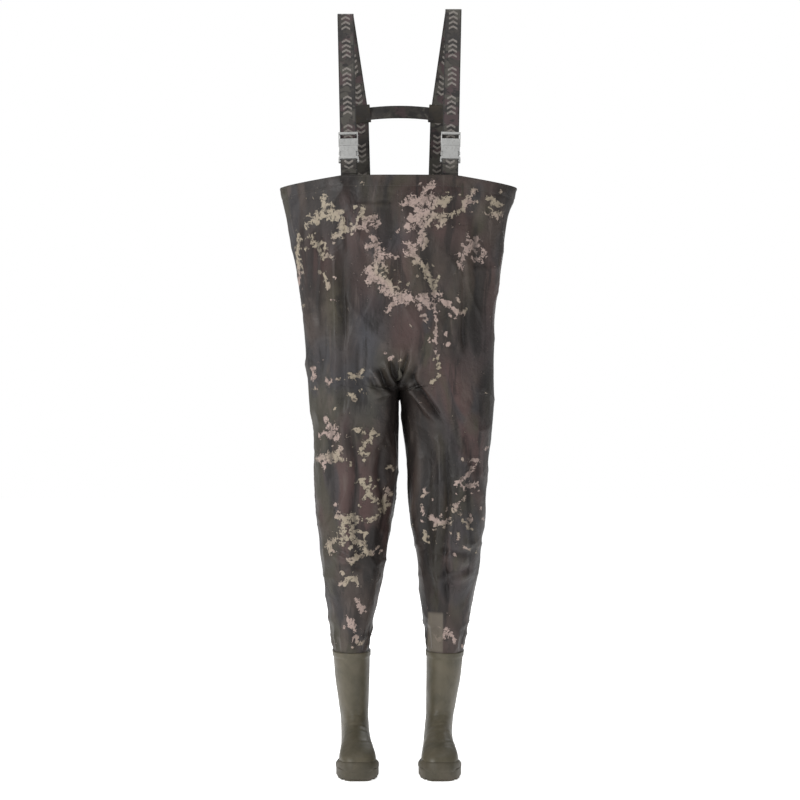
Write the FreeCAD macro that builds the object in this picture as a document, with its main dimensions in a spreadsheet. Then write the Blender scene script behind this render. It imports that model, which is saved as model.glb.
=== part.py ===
import FreeCAD, Part
import math
import os
import Sketcher
from FreeCAD import Placement, Rotation, Vector

# Chest waders: a coated-fabric bib with two legs, welded to moulded boots and hung from webbing braces.
# Frame: +Z up, the wearer faces -Y, +X is the wearer's left. The origin is the middle of the line that
# the two strap folds hang over, so every height above the soles is lowered by hang_height.

DIMENSIONS = {
    # whole garment
    "hang_height": 1776.5,
    "fabric_wall": 1.2,
    "tape_wall": 0.8,
    "tape_gap": 0.1,
    "tape_half_width": 11,
    "joint_gap": 1,
    # bib sections, from the top edge to the crotch
    "chest_height": 1395,
    "chest_half_width": 281,
    "chest_half_depth": 136,
    "chest_centre_y": 0,
    "rib_height": 1298,
    "rib_half_width": 261,
    "rib_half_depth": 134,
    "rib_centre_y": 0,
    "waist_height": 1157,
    "waist_half_width": 238.5,
    "waist_half_depth": 130,
    "waist_centre_y": 1,
    "hip_height": 1020,
    "hip_half_width": 223.5,
    "hip_half_depth": 129,
    "hip_centre_y": 3,
    "seat_height": 893,
    "seat_half_width": 219.5,
    "seat_half_depth": 131,
    "seat_centre_y": 3,
    "bib_front_height": 1382,
    "bib_side_height": 1361,
    "bib_back_height": 1350,
    "bib_flat_half_width": 130,
    "hem_height": 28,
    "gusset_thick": 2,
    "gusset_half_width": 90,
    "gusset_hole_lift": 6,
    "gusset_hole_depth": 9,
    # inner pocket
    "pocket_centre_x": -61,
    "pocket_width": 106,
    "pocket_top_height": 1319,
    "pocket_height": 150,
    # leg sections, from the crotch to the boot
    "leg_centre_x": 112,
    "crotch_height": 890,
    "crotch_half_width": 105,
    "crotch_half_depth": 111,
    "crotch_centre_y": 3,
    "thigh_height": 722,
    "thigh_half_width": 96,
    "thigh_half_depth": 109,
    "thigh_centre_y": 0,
    "lap_height": 616,
    "lap_half_width": 90,
    "lap_half_depth": 105,
    "lap_centre_y": -4,
    "knee_height": 511,
    "knee_half_width": 77,
    "knee_half_depth": 98,
    "knee_centre_y": -7,
    "calf_height": 405,
    "calf_half_width": 62,
    "calf_half_depth": 80,
    "calf_centre_y": -4,
    "shin_height": 334,
    "shin_half_width": 53,
    "shin_half_depth": 72,
    "shin_centre_y": 1,
    "cuff_height": 273,
    "cuff_half_width": 46,
    "cuff_half_depth": 68,
    "cuff_centre_y": 7,
    # where the fabric folds when a leg bends
    "hip_fold_low": 776,
    "knee_fold_high": 590,
    "knee_fold_low": 410,
    "cuff_fold_high": 336,
    # webbing
    "webbing_width": 38,
    "webbing_thick": 1.8,
    "fold_radius": 4.9,
    "strap_top_rise": 5.5,
    "front_strap_low_x": 116,
    "front_strap_low_y": -113,
    "strap_top_x": 127,
    "back_kink_x": 93,
    "back_kink_y": 69,
    "back_kink_height": 1545,
    "back_strap_low_x": 88,
    "back_strap_low_y": 131,
    "back_strap_yaw": 9.7,
    "back_strap_end_height": 1300,
    "cross_strap_height": 30,
    "cross_strap_rise": 5,
    "sleeve_width": 47,
    "sleeve_height": 42,
    "sleeve_thick": 8,
    "sleeve_slot_width": 42.5,
    "sleeve_slot_thick": 4,
    "patch_width": 62,
    "patch_height": 40,
    "patch_thick": 1.2,
    "tab_end_height": 1338,
    # side-release buckle, in its own frame: X across, -Y to the front, Z up the strap
    "buckle_lift": 31,
    "buckle_thick": 10,
    "receiver_half_width": 21.5,
    "receiver_base_half_width": 23.5,
    "receiver_height": 40,
    "receiver_bar": 3,
    "receiver_slot_top": 8,
    "socket_half_width": 18.5,
    "socket_floor": 12,
    "socket_thick": 6.4,
    "window_low": 13.8,
    "window_high": 26,
    "notch_inner_x": 17.6,
    "clip_low": 40.4,
    "clip_top": 73,
    "clip_half_width": 22.5,
    "clip_thick": 11.5,
    "clip_centre_y": 0.75,
    "clip_slot_half_width": 20.2,
    "clip_slot_low": 57,
    "clip_slot_high": 68,
    "clip_strap_y": 3.5,
    "clip_strap_gap": 2.8,
    "clip_strap_low": 50.5,
    "clip_rear_bar_top": 60,
    "tongue_half_width": 3.5,
    "tongue_low": 14.5,
    "prong_thick": 4.8,
    "prong_root_x": 12,
    # boots, in their own frame: origin under the middle of the foot, toe to -Y, toes out for a positive yaw
    "boot_left_x": 91.4,
    "boot_left_yaw": 1,
    "boot_left_shaft_shift": 17,
    "boot_right_x": 100.8,
    "boot_right_yaw": -3,
    "boot_right_shaft_shift": 9.4,
    "boot_centre_y": -57.5,
    "boot_wall": 3,
    "boot_top_height": 271,
    "sole_length": 295,
    "sole_half_width": 49,
    "sole_waist_half_width": 34.5,
    "sole_heel_half_width": 34.5,
    "sole_low": 6,
    "sole_top": 24,
    "cleat_count": 7,
    "cleat_pitch": 19,
    "cleat_length": 11,
    "cleat_height": 6,
    "heel_front_y": 62,
    "insole_thick": 5,
    "insole_inset": 8,
    "collar_height": 14,
    "collar_thick": 1.6,
}

BIB_STATIONS = ("chest", "rib", "waist", "hip", "seat")
LEG_STATIONS = ("crotch", "thigh", "lap", "knee", "calf", "shin", "cuff")
SIDES = (("left", 1), ("right", -1))
BEYOND = 400

document = FreeCAD.newDocument("chest_waders")
sheet = document.addObject("Spreadsheet::Sheet", "Dims")
pieces = []


def fill_sheet():
    """Writes each driving dimension in a cell of its own, with its name beside it as the alias."""
    for row, (alias, value) in enumerate(DIMENSIONS.items(), start=1):
        sheet.set(f"A{row}", alias)
        sheet.set(f"B{row}", str(value))
        sheet.setAlias(f"B{row}", alias)
    document.recompute()


def dim(alias):
    return float(sheet.get(alias))


def above_origin(height):
    """A height above the soles as a Z in this frame."""
    return height - dim("hang_height")


def z_of(alias):
    """The same as an expression, from a cell's alias."""
    return f"Dims.{alias} - Dims.hang_height"


def bind(thing, expressions):
    for path, expression in expressions.items():
        thing.setExpression(path, expression)


def keep(thing, label):
    """Marks an object as a sub-part: its label names its file."""
    thing.Label = label
    pieces.append(thing)
    return thing


def boolean(kind, name, base, tool):
    result = document.addObject(f"Part::{kind}", name)
    result.Base = base
    result.Tool = tool
    return result


# ---------------------------------------------------------------- fabric shells


def ellipse_section(name, station, centre_x, inset, turned):
    """One horizontal ellipse of a garment section; a turned one is longer front to back."""
    section = document.addObject("Part::Ellipse", name)
    across = f"Dims.{station}_half_width - {inset}"
    along = f"Dims.{station}_half_depth - {inset}"
    section.Placement = Placement(Vector(), Rotation(Vector(0, 0, 1), 90 if turned else 0))
    section.MajorRadius = BEYOND
    section.MinorRadius = 1
    bind(section, {
        "MajorRadius": along if turned else across,
        "MinorRadius": across if turned else along,
        "Placement.Base.x": centre_x,
        "Placement.Base.y": f"Dims.{station}_centre_y",
        "Placement.Base.z": z_of(f"{station}_height"),
    })
    return section


def tube(name, stations, centre_x, inset, turned):
    """A closed solid lofted through the garment's sections."""
    loft = document.addObject("Part::Loft", name)
    loft.Sections = [
        ellipse_section(f"{name}_{station}", station, centre_x, inset, turned) for station in stations
    ]
    loft.Solid = True
    loft.Ruled = False
    return loft


def shell(name, stations, centre_x, outer_inset, inner_inset, turned):
    """The skin between two insets of the same loft."""
    outer = tube(f"{name}_outer", stations, centre_x, outer_inset, turned)
    inner = tube(f"{name}_inner", stations, centre_x, inner_inset, turned)
    return boolean("Cut", name, outer, inner)


def fabric_shell(name, stations, centre_x, turned):
    return shell(name, stations, centre_x, "0", "Dims.fabric_wall", turned)


def tape_shell(name, stations, centre_x, turned):
    """A thin skin just inside the fabric, which seam tapes, hem and pocket are cut from."""
    outer = "(Dims.fabric_wall + Dims.tape_gap)"
    inner = "(Dims.fabric_wall + Dims.tape_gap + Dims.tape_wall)"
    return shell(name, stations, centre_x, outer, inner, turned)


def block(name, low, size):
    """A box to cut with, from expressions for its lowest corner and its size."""
    box = document.addObject("Part::Box", name)
    bind(box, {
        "Placement.Base.x": low[0],
        "Placement.Base.y": low[1],
        "Placement.Base.z": low[2],
        "Length": size[0],
        "Width": size[1],
        "Height": size[2],
    })
    return box


def outline_block(name, corners, start_y):
    """A prism BEYOND deep along Y, from start_y, whose XZ outline is a closed list of expressions."""
    sketch = document.addObject("Sketcher::SketchObject", f"{name}_outline")
    sketch.Placement = Placement(Vector(0, start_y, 0), Rotation(Vector(1, 0, 0), 90))
    draw_polygon(sketch, corners)
    prism = document.addObject("Part::Extrusion", name)
    prism.Base = sketch
    prism.DirMode = "Custom"
    prism.Dir = Vector(0, 1, 0)
    prism.LengthFwd = BEYOND
    prism.Solid = True
    return prism


def draw_polygon(sketch, corners):
    """A closed polygon whose corners are pairs of expressions, each held by its own two constraints."""
    values = [(evaluate(x), evaluate(y)) for x, y in corners]
    count = len(corners)
    for i in range(count):
        here = Vector(*values[i], 0)
        there = Vector(*values[(i + 1) % count], 0)
        sketch.addGeometry(Part.LineSegment(here, there), False)
    for i in range(count):
        sketch.addConstraint(Sketcher.Constraint("Coincident", i, 2, (i + 1) % count, 1))
    for i in range(count):
        for axis, direction in enumerate(("DistanceX", "DistanceY")):
            held = Sketcher.Constraint(direction, -1, 1, i, 1, values[i][axis])
            index = sketch.addConstraint(held)
            sketch.setExpression(f"Constraints[{index}]", corners[i][axis])


def evaluate(expression):
    return float(sheet.evalExpression(expression))


def top_line(sign, front, drop="0"):
    """The bib's top edge on one side, from its middle outwards, as XZ expressions."""
    side = f"{sign} * {BEYOND}"
    level = "({} - ({}))"
    if front:
        slope_end = level.format(z_of("bib_side_height"), drop)
        return [
            ("0", level.format(z_of("bib_front_height"), drop)),
            (f"{sign} * Dims.bib_flat_half_width", level.format(z_of("bib_front_height"), drop)),
            (f"{sign} * Dims.chest_half_width", slope_end),
            (side, slope_end),
        ]
    return [
        ("0", level.format(z_of("bib_back_height"), drop)),
        (f"{sign} * Dims.chest_half_width", level.format(z_of("bib_side_height"), drop)),
        (side, level.format(z_of("bib_side_height"), drop)),
    ]


def bib_panels(skin):
    """Four fabric panels that meet at the centre seams and the side seams."""
    for side, sign in SIDES:
        for face, front in (("front", True), ("back", False)):
            floor = z_of("seat_height")
            corners = [("0", floor)] + top_line(sign, front) + [(f"{sign} * {BEYOND}", floor)]
            cutter = outline_block(f"bib_{face}_{side}_block", corners, -BEYOND if front else 0)
            keep(boolean("Common", f"bib_{face}_{side}_panel", skin, cutter), f"bib_{face}_{side}")


def bib_hem(lining):
    """The folded band inside the top edge, in a front and a back length."""
    for face, front in (("front", True), ("back", False)):
        upper = top_line(1, front)
        lower = top_line(1, front, "Dims.hem_height")
        mirrored = [(f"-({x})", z) for x, z in upper[1:]]
        mirrored_low = [(f"-({x})", z) for x, z in lower[1:]]
        corners = mirrored[::-1] + upper + lower[::-1] + mirrored_low
        cutter = outline_block(f"hem_{face}_block", corners, -BEYOND if front else 0)
        keep(boolean("Common", f"hem_{face}_cut", lining, cutter), f"bib_hem_{face}")


def bib_tapes(lining):
    """Welded tapes inside the centre seams and the side seams, under the hem."""
    low = z_of("seat_height") + " + 5"
    tall = "Dims.{} - Dims.hem_height - Dims.seat_height - 8"
    width = "2 * Dims.tape_half_width"
    places = {
        "centre_front": ("-Dims.tape_half_width", f"-{BEYOND}", "bib_front_height", width, BEYOND),
        "centre_back": ("-Dims.tape_half_width", "0", "bib_back_height", width, BEYOND),
        "side_left": ("0", "-Dims.tape_half_width", "bib_back_height", BEYOND, width),
        "side_right": (f"-{BEYOND}", "-Dims.tape_half_width", "bib_back_height", BEYOND, width),
    }
    for name, (x, y, top, wide, deep) in places.items():
        size = (str(wide), str(deep), tall.format(top))
        cutter = block(f"tape_{name}_block", (x, y, low), size)
        keep(boolean("Common", f"tape_{name}_cut", lining, cutter), f"seam_tape_{name}")


def inner_pocket(lining):
    """A flat pocket welded inside the chest, beside the centre seam."""
    low = (
        "Dims.pocket_centre_x - Dims.pocket_width / 2 + Dims.tape_half_width / 2",
        f"-{BEYOND}",
        z_of("pocket_top_height") + " - Dims.pocket_height",
    )
    size = ("Dims.pocket_width - Dims.tape_half_width - 2", str(BEYOND), "Dims.pocket_height")
    cutter = block("pocket_block", low, size)
    keep(boolean("Common", "pocket_cut", lining, cutter), "inner_pocket")


def disc(name, station, centre_x, turned, thick, lift):
    """A flat elliptical plate under a garment section."""
    section = ellipse_section(f"{name}_edge", station, centre_x, "0", turned)
    section.setExpression("Placement.Base.z", f"{z_of('seat_height')} - {lift}")
    plate = document.addObject("Part::Extrusion", name)
    plate.Base = section
    plate.DirMode = "Custom"
    plate.Dir = Vector(0, 0, 1)
    plate.Solid = True
    plate.setExpression("LengthFwd", thick)
    return plate


def crotch_gusset():
    """The hourglass piece between the bib and the two legs, with a leg opening on each side."""
    plate = disc("gusset_plate", "seat", "0", False, "Dims.gusset_thick", "Dims.gusset_thick")
    for side, sign in SIDES:
        centre = f"{sign} * Dims.leg_centre_x"
        hole = disc(f"gusset_{side}_hole", "crotch", centre, True, "Dims.gusset_hole_depth", "Dims.gusset_hole_lift")
        plate = boolean("Cut", f"gusset_{side}_cut", plate, hole)
    low = ("-Dims.gusset_half_width", f"-{BEYOND}", z_of("seat_height") + " - 5")
    middle = block("gusset_block", low, ("2 * Dims.gusset_half_width", str(2 * BEYOND), "10"))
    keep(boolean("Common", "gusset_middle", plate, middle), "crotch_gusset")


def leg_slab(name, low, high, part):
    """A box over a leg's height span, for all of it or only its front or back half."""
    start_y = {"whole": f"-{BEYOND}", "front": f"-{BEYOND}", "back": "0"}[part]
    deep = {"whole": 2 * BEYOND, "front": BEYOND, "back": BEYOND}[part]
    corner = (f"-{BEYOND}", start_y, f"{low} - Dims.hang_height")
    return block(name, corner, (str(2 * BEYOND), str(deep), f"{high} - ({low})"))


def leg(side, sign):
    """One fabric leg: stiffer thigh and shin panels between the hip, knee and cuff folds."""
    centre = f"{sign} * Dims.leg_centre_x"
    skin = fabric_shell(f"leg_{side}", LEG_STATIONS, centre, True)
    lining = tape_shell(f"leg_lining_{side}", LEG_STATIONS, centre, True)
    gap = "Dims.joint_gap"
    spans = {
        f"hip_fold_{side}": (f"Dims.hip_fold_low + {gap}", "Dims.crotch_height", "whole"),
        f"thigh_front_{side}": (f"Dims.knee_fold_high + {gap}", "Dims.hip_fold_low", "front"),
        f"thigh_back_{side}": (f"Dims.knee_fold_high + {gap}", "Dims.hip_fold_low", "back"),
        f"knee_fold_{side}": (f"Dims.knee_fold_low + {gap}", "Dims.knee_fold_high", "whole"),
        f"shin_front_{side}": (f"Dims.cuff_fold_high + {gap}", "Dims.knee_fold_low", "front"),
        f"shin_back_{side}": (f"Dims.cuff_fold_high + {gap}", "Dims.knee_fold_low", "back"),
        f"cuff_fold_{side}": (f"Dims.cuff_height + {gap}", "Dims.cuff_fold_high", "whole"),
    }
    for node, (low, high, part) in spans.items():
        slab = leg_slab(f"{node}_slab", low, high, part)
        keep(boolean("Common", f"{node}_cut", skin, slab), node)
    tapes = {
        f"thigh_seam_tapes_{side}": ("Dims.knee_fold_high + 6", "Dims.hip_fold_low - 5"),
        f"shin_seam_tapes_{side}": ("Dims.cuff_fold_high + 6", "Dims.knee_fold_low - 5"),
    }
    for node, (low, high) in tapes.items():
        corner = (f"-{BEYOND}", "-Dims.tape_half_width", f"{low} - Dims.hang_height")
        size = (str(2 * BEYOND), "2 * Dims.tape_half_width", f"{high} - ({low})")
        slab = block(f"{node}_slab", corner, size)
        keep(boolean("Common", f"{node}_cut", lining, slab), node)


# ---------------------------------------------------------------- webbing


def strip_section(point, width_direction, normal, width):
    """A rectangle across a strip of webbing at one point of its path."""
    across = width_direction.normalize() * (width / 2)
    through = normal.normalize() * (dim("webbing_thick") / 2)
    corners = [point + across + through, point - across + through]
    corners += [point - across - through, point + across - through]
    return Part.makePolygon(corners + corners[:1])


def strip(points, width, yaws=None):
    """A flat strip of webbing along a path, its width lying along X or turned by a yaw in degrees."""
    sections = []
    last = len(points) - 1
    for i, point in enumerate(points):
        along = points[min(i + 1, last)] - points[max(i - 1, 0)]
        if 0 < i < last:
            inward = (points[i] - points[i - 1]).normalize()
            outward = (points[i + 1] - points[i]).normalize()
            along = inward + outward
        yaw = math.radians(yaws[i]) if yaws else 0
        across = Vector(math.cos(yaw), -math.sin(yaw), 0)
        sections.append(strip_section(point, across, along.cross(across), width))
    return Part.makeLoft(sections, True, True)


def shaped(label, shape, placement=None):
    """A sub-part whose shape is set here; its placement follows its shape."""
    feature = document.addObject("Part::Feature", label)
    feature.Shape = shape
    if placement:
        feature.Placement = placement
    return keep(feature, label)


def strap_top(sign):
    """The middle of a strap's fold. The wearer's left strap hangs a little higher."""
    rise = sign * dim("strap_top_rise")
    return Vector(sign * dim("strap_top_x"), 0, rise - dim("fold_radius"))


def buckle_placement(sign):
    """The buckle lies in line with the front strap, a tab's length above the bib."""
    low = Vector(
        sign * dim("front_strap_low_x"), dim("front_strap_low_y"), above_origin(dim("bib_front_height"))
    )
    high = strap_top(sign) - Vector(0, dim("fold_radius") + dim("clip_strap_y"), 0)
    along = (high - low).normalize()
    turn = Rotation(Vector(1, 0, 0), Vector(), along, "ZXY")
    return Placement(low + along * dim("buckle_lift"), turn)


def back_run(sign):
    """The strap's path down the back, from the cross strap to its sewn end."""
    tie = Vector(sign * dim("back_kink_x"), dim("back_kink_y"), above_origin(dim("back_kink_height")))
    low_x = sign * dim("back_strap_low_x")
    low_y = dim("back_strap_low_y")
    hem = Vector(low_x, low_y, above_origin(dim("bib_back_height")))
    end = Vector(low_x, low_y, above_origin(dim("back_strap_end_height")))
    return [tie, hem, end]


def shoulder_strap(side, sign):
    """One length of webbing: up the front, over the fold, down the back to the bib."""
    placement = buckle_placement(sign)
    foot = placement.multVec(Vector(0, dim("clip_strap_y"), dim("clip_strap_low") + 1.5))
    top = strap_top(sign)
    radius = dim("fold_radius")
    fold = []
    for degrees in range(0, 181, 30):
        turn = math.radians(degrees)
        fold.append(top + Vector(0, -radius * math.cos(turn), radius * math.sin(turn)))
    points = [foot] + fold + back_run(sign)
    yaws = [0] * (len(points) - 2) + [sign * dim("back_strap_yaw")] * 2
    shaped(f"shoulder_strap_{side}", strip(points, dim("webbing_width"), yaws))


def sleeve_placement(sign):
    """The sleeve sits on the strap's kink, in line with the run above and below it."""
    tie, hem, _ = back_run(sign)
    above = strap_top(sign) + Vector(0, dim("fold_radius"), 0)
    along = (above - tie).normalize() + (tie - hem).normalize()
    return Placement(tie, Rotation(Vector(1, 0, 0), Vector(), along, "ZXY"))


def sleeve(side, sign):
    """A stitched sleeve that the back strap runs through and that carries the cross strap."""
    width = dim("sleeve_width")
    height = dim("sleeve_height")
    thick = dim("sleeve_thick")
    slot_width = dim("sleeve_slot_width")
    slot_thick = dim("sleeve_slot_thick")
    outer = Part.makeBox(width, thick, height, Vector(-width / 2, -thick / 2, -height / 2))
    slot_corner = Vector(-slot_width / 2, -slot_thick / 2, -height)
    slot = Part.makeBox(slot_width, slot_thick, 2 * height, slot_corner)
    shaped(f"cross_strap_sleeve_{side}", outer.cut(slot), sleeve_placement(sign))


def cross_strap():
    """The webbing between the two sleeves, slightly arched."""
    reach = dim("back_kink_x") - dim("sleeve_width") / 2 - 2
    level = above_origin(dim("back_kink_height"))
    thick = dim("webbing_thick")
    sections = []
    for x in (-reach, -reach / 2, 0, reach / 2, reach):
        arch = dim("cross_strap_rise") * (1 - (x / reach) ** 2)
        low = level + arch - dim("cross_strap_height") / 2
        high = low + dim("cross_strap_height")
        front = dim("back_kink_y") - thick / 2
        back = front + thick
        corners = [Vector(x, front, low), Vector(x, back, low), Vector(x, back, high), Vector(x, front, high)]
        sections.append(Part.makePolygon(corners + corners[:1]))
    shaped("cross_strap", Part.makeLoft(sections, True, True))


def front_tab(side, sign):
    """The short doubled webbing that is sewn inside the bib and holds the buckle's receiver."""
    placement = buckle_placement(sign)
    lift = dim("buckle_lift")
    bar_top = dim("receiver_bar")
    behind = dim("buckle_thick") / 2 + 1.2
    ahead = -behind
    inner = behind - dim("webbing_thick") - 0.2
    local = [
        (behind, 2 - lift),
        (behind, bar_top),
        (behind - 1.6, bar_top + 2.4),
        (ahead + 1.6, bar_top + 2.4),
        (ahead, bar_top),
        (ahead, -1.5),
        (inner, -12),
        (inner, 5 - lift),
    ]
    points = [placement.multVec(Vector(0, y, z)) for y, z in local]
    hem = Vector(points[0].x, dim("front_strap_low_y") + 1, points[0].z - 9)
    end = Vector(hem.x, hem.y, above_origin(dim("tab_end_height")))
    shaped(f"front_tab_{side}", strip([end, hem] + points, dim("webbing_width")))


def anchor_patches(side, sign):
    """Reinforcing patches: inside the bib behind the front tab, and over the back strap's end."""
    width = dim("patch_width")
    height = dim("patch_height")
    thick = dim("patch_thick")
    clear = dim("webbing_thick") / 2 + 0.3
    plate = Part.makeBox(width, thick, height, Vector(-width / 2, 0, -height / 2))
    front_x = sign * dim("front_strap_low_x")
    front_y = dim("front_strap_low_y") + 1 + clear
    front_z = above_origin(dim("tab_end_height")) + height / 2 - 6
    shaped(f"front_anchor_patch_{side}", plate, Placement(Vector(front_x, front_y, front_z), Rotation()))
    back_z = above_origin(dim("back_strap_end_height")) + height / 2 - 6
    turn = Rotation(Vector(0, 0, 1), -sign * dim("back_strap_yaw"))
    offset = turn.multVec(Vector(0, clear, 0))
    back = Vector(sign * dim("back_strap_low_x"), dim("back_strap_low_y"), back_z) + offset
    shaped(f"back_anchor_patch_{side}", plate, Placement(back, turn))


# ---------------------------------------------------------------- side-release buckle


def body_sketch(body, name, corners, centre_y="0"):
    """A sketch on the body's XZ plane, moved along Y; a midplane feature on it is centred there."""
    plane = [feature for feature in body.Origin.OriginFeatures if feature.Role == "XZ_Plane"][0]
    sketch = body.newObject("Sketcher::SketchObject", name)
    sketch.AttachmentSupport = [(plane, "")]
    sketch.MapMode = "FlatFace"
    sketch.setExpression("AttachmentOffset.Base.z", f"-({centre_y})")
    draw_polygon(sketch, corners)
    return sketch


def feature(body, kind, name, corners, thick, centre_y="0"):
    """A Pad or Pocket of a polygon, as thick as stated and centred at centre_y."""
    made = body.newObject(f"PartDesign::{kind}", name)
    made.Profile = body_sketch(body, f"{name}_sketch", corners, centre_y)
    made.Midplane = True
    made.setExpression("Length", thick)
    return made


def rectangle(half_width, low, high):
    return [
        (f"-({half_width})", low),
        (f"{half_width}", low),
        (f"{half_width}", high),
        (f"-({half_width})", high),
    ]


def receiver(side, sign):
    """The buckle's lower half: a flat socket, notched at the sides for the barbs, and a bar for the tab."""
    name = f"buckle_receiver_{side}"
    body = document.addObject("PartDesign::Body", f"{name}_body")
    wide = "Dims.receiver_base_half_width"
    narrow = "Dims.receiver_half_width"
    right_side = [(wide, "0"), (wide, "8"), (narrow, "18"), (narrow, "Dims.receiver_height")]
    left_side = [(f"-{x}", z) for x, z in right_side[::-1]]
    thick = "Dims.buckle_thick"
    socket = rectangle("Dims.socket_half_width", "Dims.socket_floor", "Dims.receiver_height + 1")
    windows = rectangle("Dims.receiver_base_half_width + 2", "Dims.window_low", "Dims.window_high")
    side_notch = [
        ("Dims.notch_inner_x", "Dims.window_low"),
        ("Dims.receiver_base_half_width + 2", "Dims.window_low"),
        ("Dims.receiver_base_half_width + 2", "Dims.window_high"),
        ("Dims.notch_inner_x", "Dims.window_high"),
    ]
    slot = rectangle("Dims.clip_slot_half_width", "Dims.receiver_bar", "Dims.receiver_slot_top")
    feature(body, "Pad", f"{name}_plate", right_side + left_side, thick)
    feature(body, "Pocket", f"{name}_socket", socket, "Dims.socket_thick")
    feature(body, "Pocket", f"{name}_windows", windows, "Dims.socket_thick")
    for hand in (-1, 1):
        notch = [(f"{hand} * ({x})", z) for x, z in side_notch]
        feature(body, "Pocket", f"{name}_notch_{'outer' if hand * sign > 0 else 'inner'}", notch, f"{thick} + 2")
    feature(body, "Pocket", f"{name}_slot", slot, f"{thick} + 2")
    body.Placement = buckle_placement(sign)
    keep(body, name)


def clip(side, sign):
    """The buckle's upper half: a frame that the strap runs through, and a guide tongue."""
    name = f"clip_body_{side}"
    body = document.addObject("PartDesign::Body", f"{name}_body")
    frame = rectangle("Dims.clip_half_width", "Dims.clip_low", "Dims.clip_top")
    tongue = rectangle("Dims.tongue_half_width", "Dims.tongue_low", "Dims.clip_low + 2")
    passage = rectangle("Dims.clip_slot_half_width", "Dims.clip_low", "Dims.clip_top + 1")
    slot = rectangle("Dims.clip_slot_half_width", "Dims.clip_slot_low", "Dims.clip_slot_high")
    rear = rectangle("Dims.clip_slot_half_width", "Dims.clip_rear_bar_top", "Dims.clip_top + 1")
    feature(body, "Pad", f"{name}_frame", frame, "Dims.clip_thick", "Dims.clip_centre_y")
    feature(body, "Pad", f"{name}_tongue", tongue, "Dims.prong_thick")
    feature(body, "Pocket", f"{name}_passage", passage, "Dims.clip_strap_gap", "Dims.clip_strap_y")
    feature(body, "Pocket", f"{name}_slot", slot, "8.5", "-1.75")
    feature(body, "Pocket", f"{name}_rear", rear, "3", "6")
    body.Placement = buckle_placement(sign)
    keep(body, name)


def prong(side, sign, place, hand):
    """One springy prong, whose barb catches in the receiver's window."""
    name = f"clip_prong_{place}_{side}"
    body = document.addObject("PartDesign::Body", f"{name}_body")
    outline = [
        ("Dims.prong_root_x - 2.5", "Dims.clip_low - 0.4"),
        ("Dims.prong_root_x + 2.2", "Dims.clip_low - 0.4"),
        ("Dims.prong_root_x + 2.2", "Dims.window_high + 2"),
        ("Dims.socket_half_width - 0.9", "Dims.window_high - 0.5"),
        ("Dims.receiver_half_width + 0.8", "Dims.window_high - 0.5"),
        ("Dims.receiver_half_width + 1.2", "Dims.window_high - 6"),
        ("Dims.socket_half_width + 0.6", "Dims.window_low + 0.6"),
        ("Dims.prong_root_x + 3", "Dims.socket_floor + 0.7"),
        ("Dims.prong_root_x - 1", "Dims.socket_floor + 2"),
        ("Dims.prong_root_x - 2.5", "Dims.window_high - 2"),
    ]
    corners = [(f"{hand} * ({x})", z) for x, z in outline]
    feature(body, "Pad", f"{name}_pad", corners, "Dims.prong_thick")
    body.Placement = buckle_placement(sign)
    keep(body, name)


# ---------------------------------------------------------------- boots

# The shaft's level cross-sections, from its top to the sole: height, middle Y, half width, half depth,
# and how much of the shaft's sideways lean it has.
SHAFT_SECTIONS = (
    (271, 62, 44, 66, 1.0),
    (205, 62.5, 41, 62.5, 0.78),
    (150, 64, 36.5, 60, 0.5),
    (115, 67, 33.5, 62, 0.3),
    (70, 73, 34, 65, 0.15),
    (24, 78, 34, 63, 0.0),
)

# The foot's upright cross-sections, from inside the shaft to the toe: Y, height of the top, half width.
FOOT_SECTIONS = (
    (60, 128, 32),
    (0, 117, 34),
    (-36, 97, 38),
    (-70, 84, 41.5),
    (-100, 71, 42),
    (-125, 58, 34),
    (-138, 46, 21),
)


def oval(centre, across, upward):
    """A closed smooth oval about a centre, from its two half axes."""
    points = []
    for step in range(16):
        turn = math.radians(360 * step / 16)
        points.append(centre + across * math.cos(turn) + upward * math.sin(turn))
    curve = Part.BSplineCurve()
    curve.interpolate(Points=points, PeriodicFlag=True)
    return Part.Wire([curve.toShape()])


def boot_loft(side, inset):
    """A boot's outer form, or the same form smaller all round by an inset."""
    shaft = []
    for height, y, half_width, half_depth, lean in SHAFT_SECTIONS:
        centre = Vector(lean * dim(f"boot_{side}_shaft_shift"), y, height)
        shaft.append(oval(centre, Vector(half_width - inset, 0, 0), Vector(0, half_depth - inset, 0)))
    foot = []
    for y, top, half_width in FOOT_SECTIONS:
        centre = Vector(0, y + inset, top / 2)
        foot.append(oval(centre, Vector(half_width - inset, 0, 0), Vector(0, 0, top / 2 - inset)))
    return Part.makeLoft(shaft, True, True).fuse(Part.makeLoft(foot, True, True))


def mirrored(shape, sign):
    return shape if sign > 0 else shape.mirror(Vector(), Vector(1, 0, 0))


def boot_placement(side, sign):
    corner = Vector(sign * dim(f"boot_{side}_x"), dim("boot_centre_y"), above_origin(0))
    return Placement(corner, Rotation(Vector(0, 0, 1), sign * dim(f"boot_{side}_yaw")))


def above(height, thick):
    """A slab of space from a height upwards."""
    return Part.makeBox(2 * BEYOND, 2 * BEYOND, thick, Vector(-BEYOND, -BEYOND, height))


def sole_face(inset):
    """The foot-shaped outline of the sole: broad ball, narrow waist, round heel and toe."""
    half_length = dim("sole_length") / 2 - inset
    ball = dim("sole_half_width") - inset
    waist = dim("sole_waist_half_width") - inset
    heel = dim("sole_heel_half_width") - inset
    right = [(ball * 0.62, -0.91), (ball, -0.5), (waist, 0.12), (heel, 0.6), (heel * 0.66, 0.92)]
    points = [Vector(0, -half_length, 0)]
    points += [Vector(x, y * half_length, 0) for x, y in right]
    points.append(Vector(0, half_length, 0))
    points += [Vector(-x, y * half_length, 0) for x, y in right[::-1]]
    curve = Part.BSplineCurve()
    curve.interpolate(Points=points, PeriodicFlag=True)
    return Part.Face(Part.Wire([curve.toShape()]))


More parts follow.
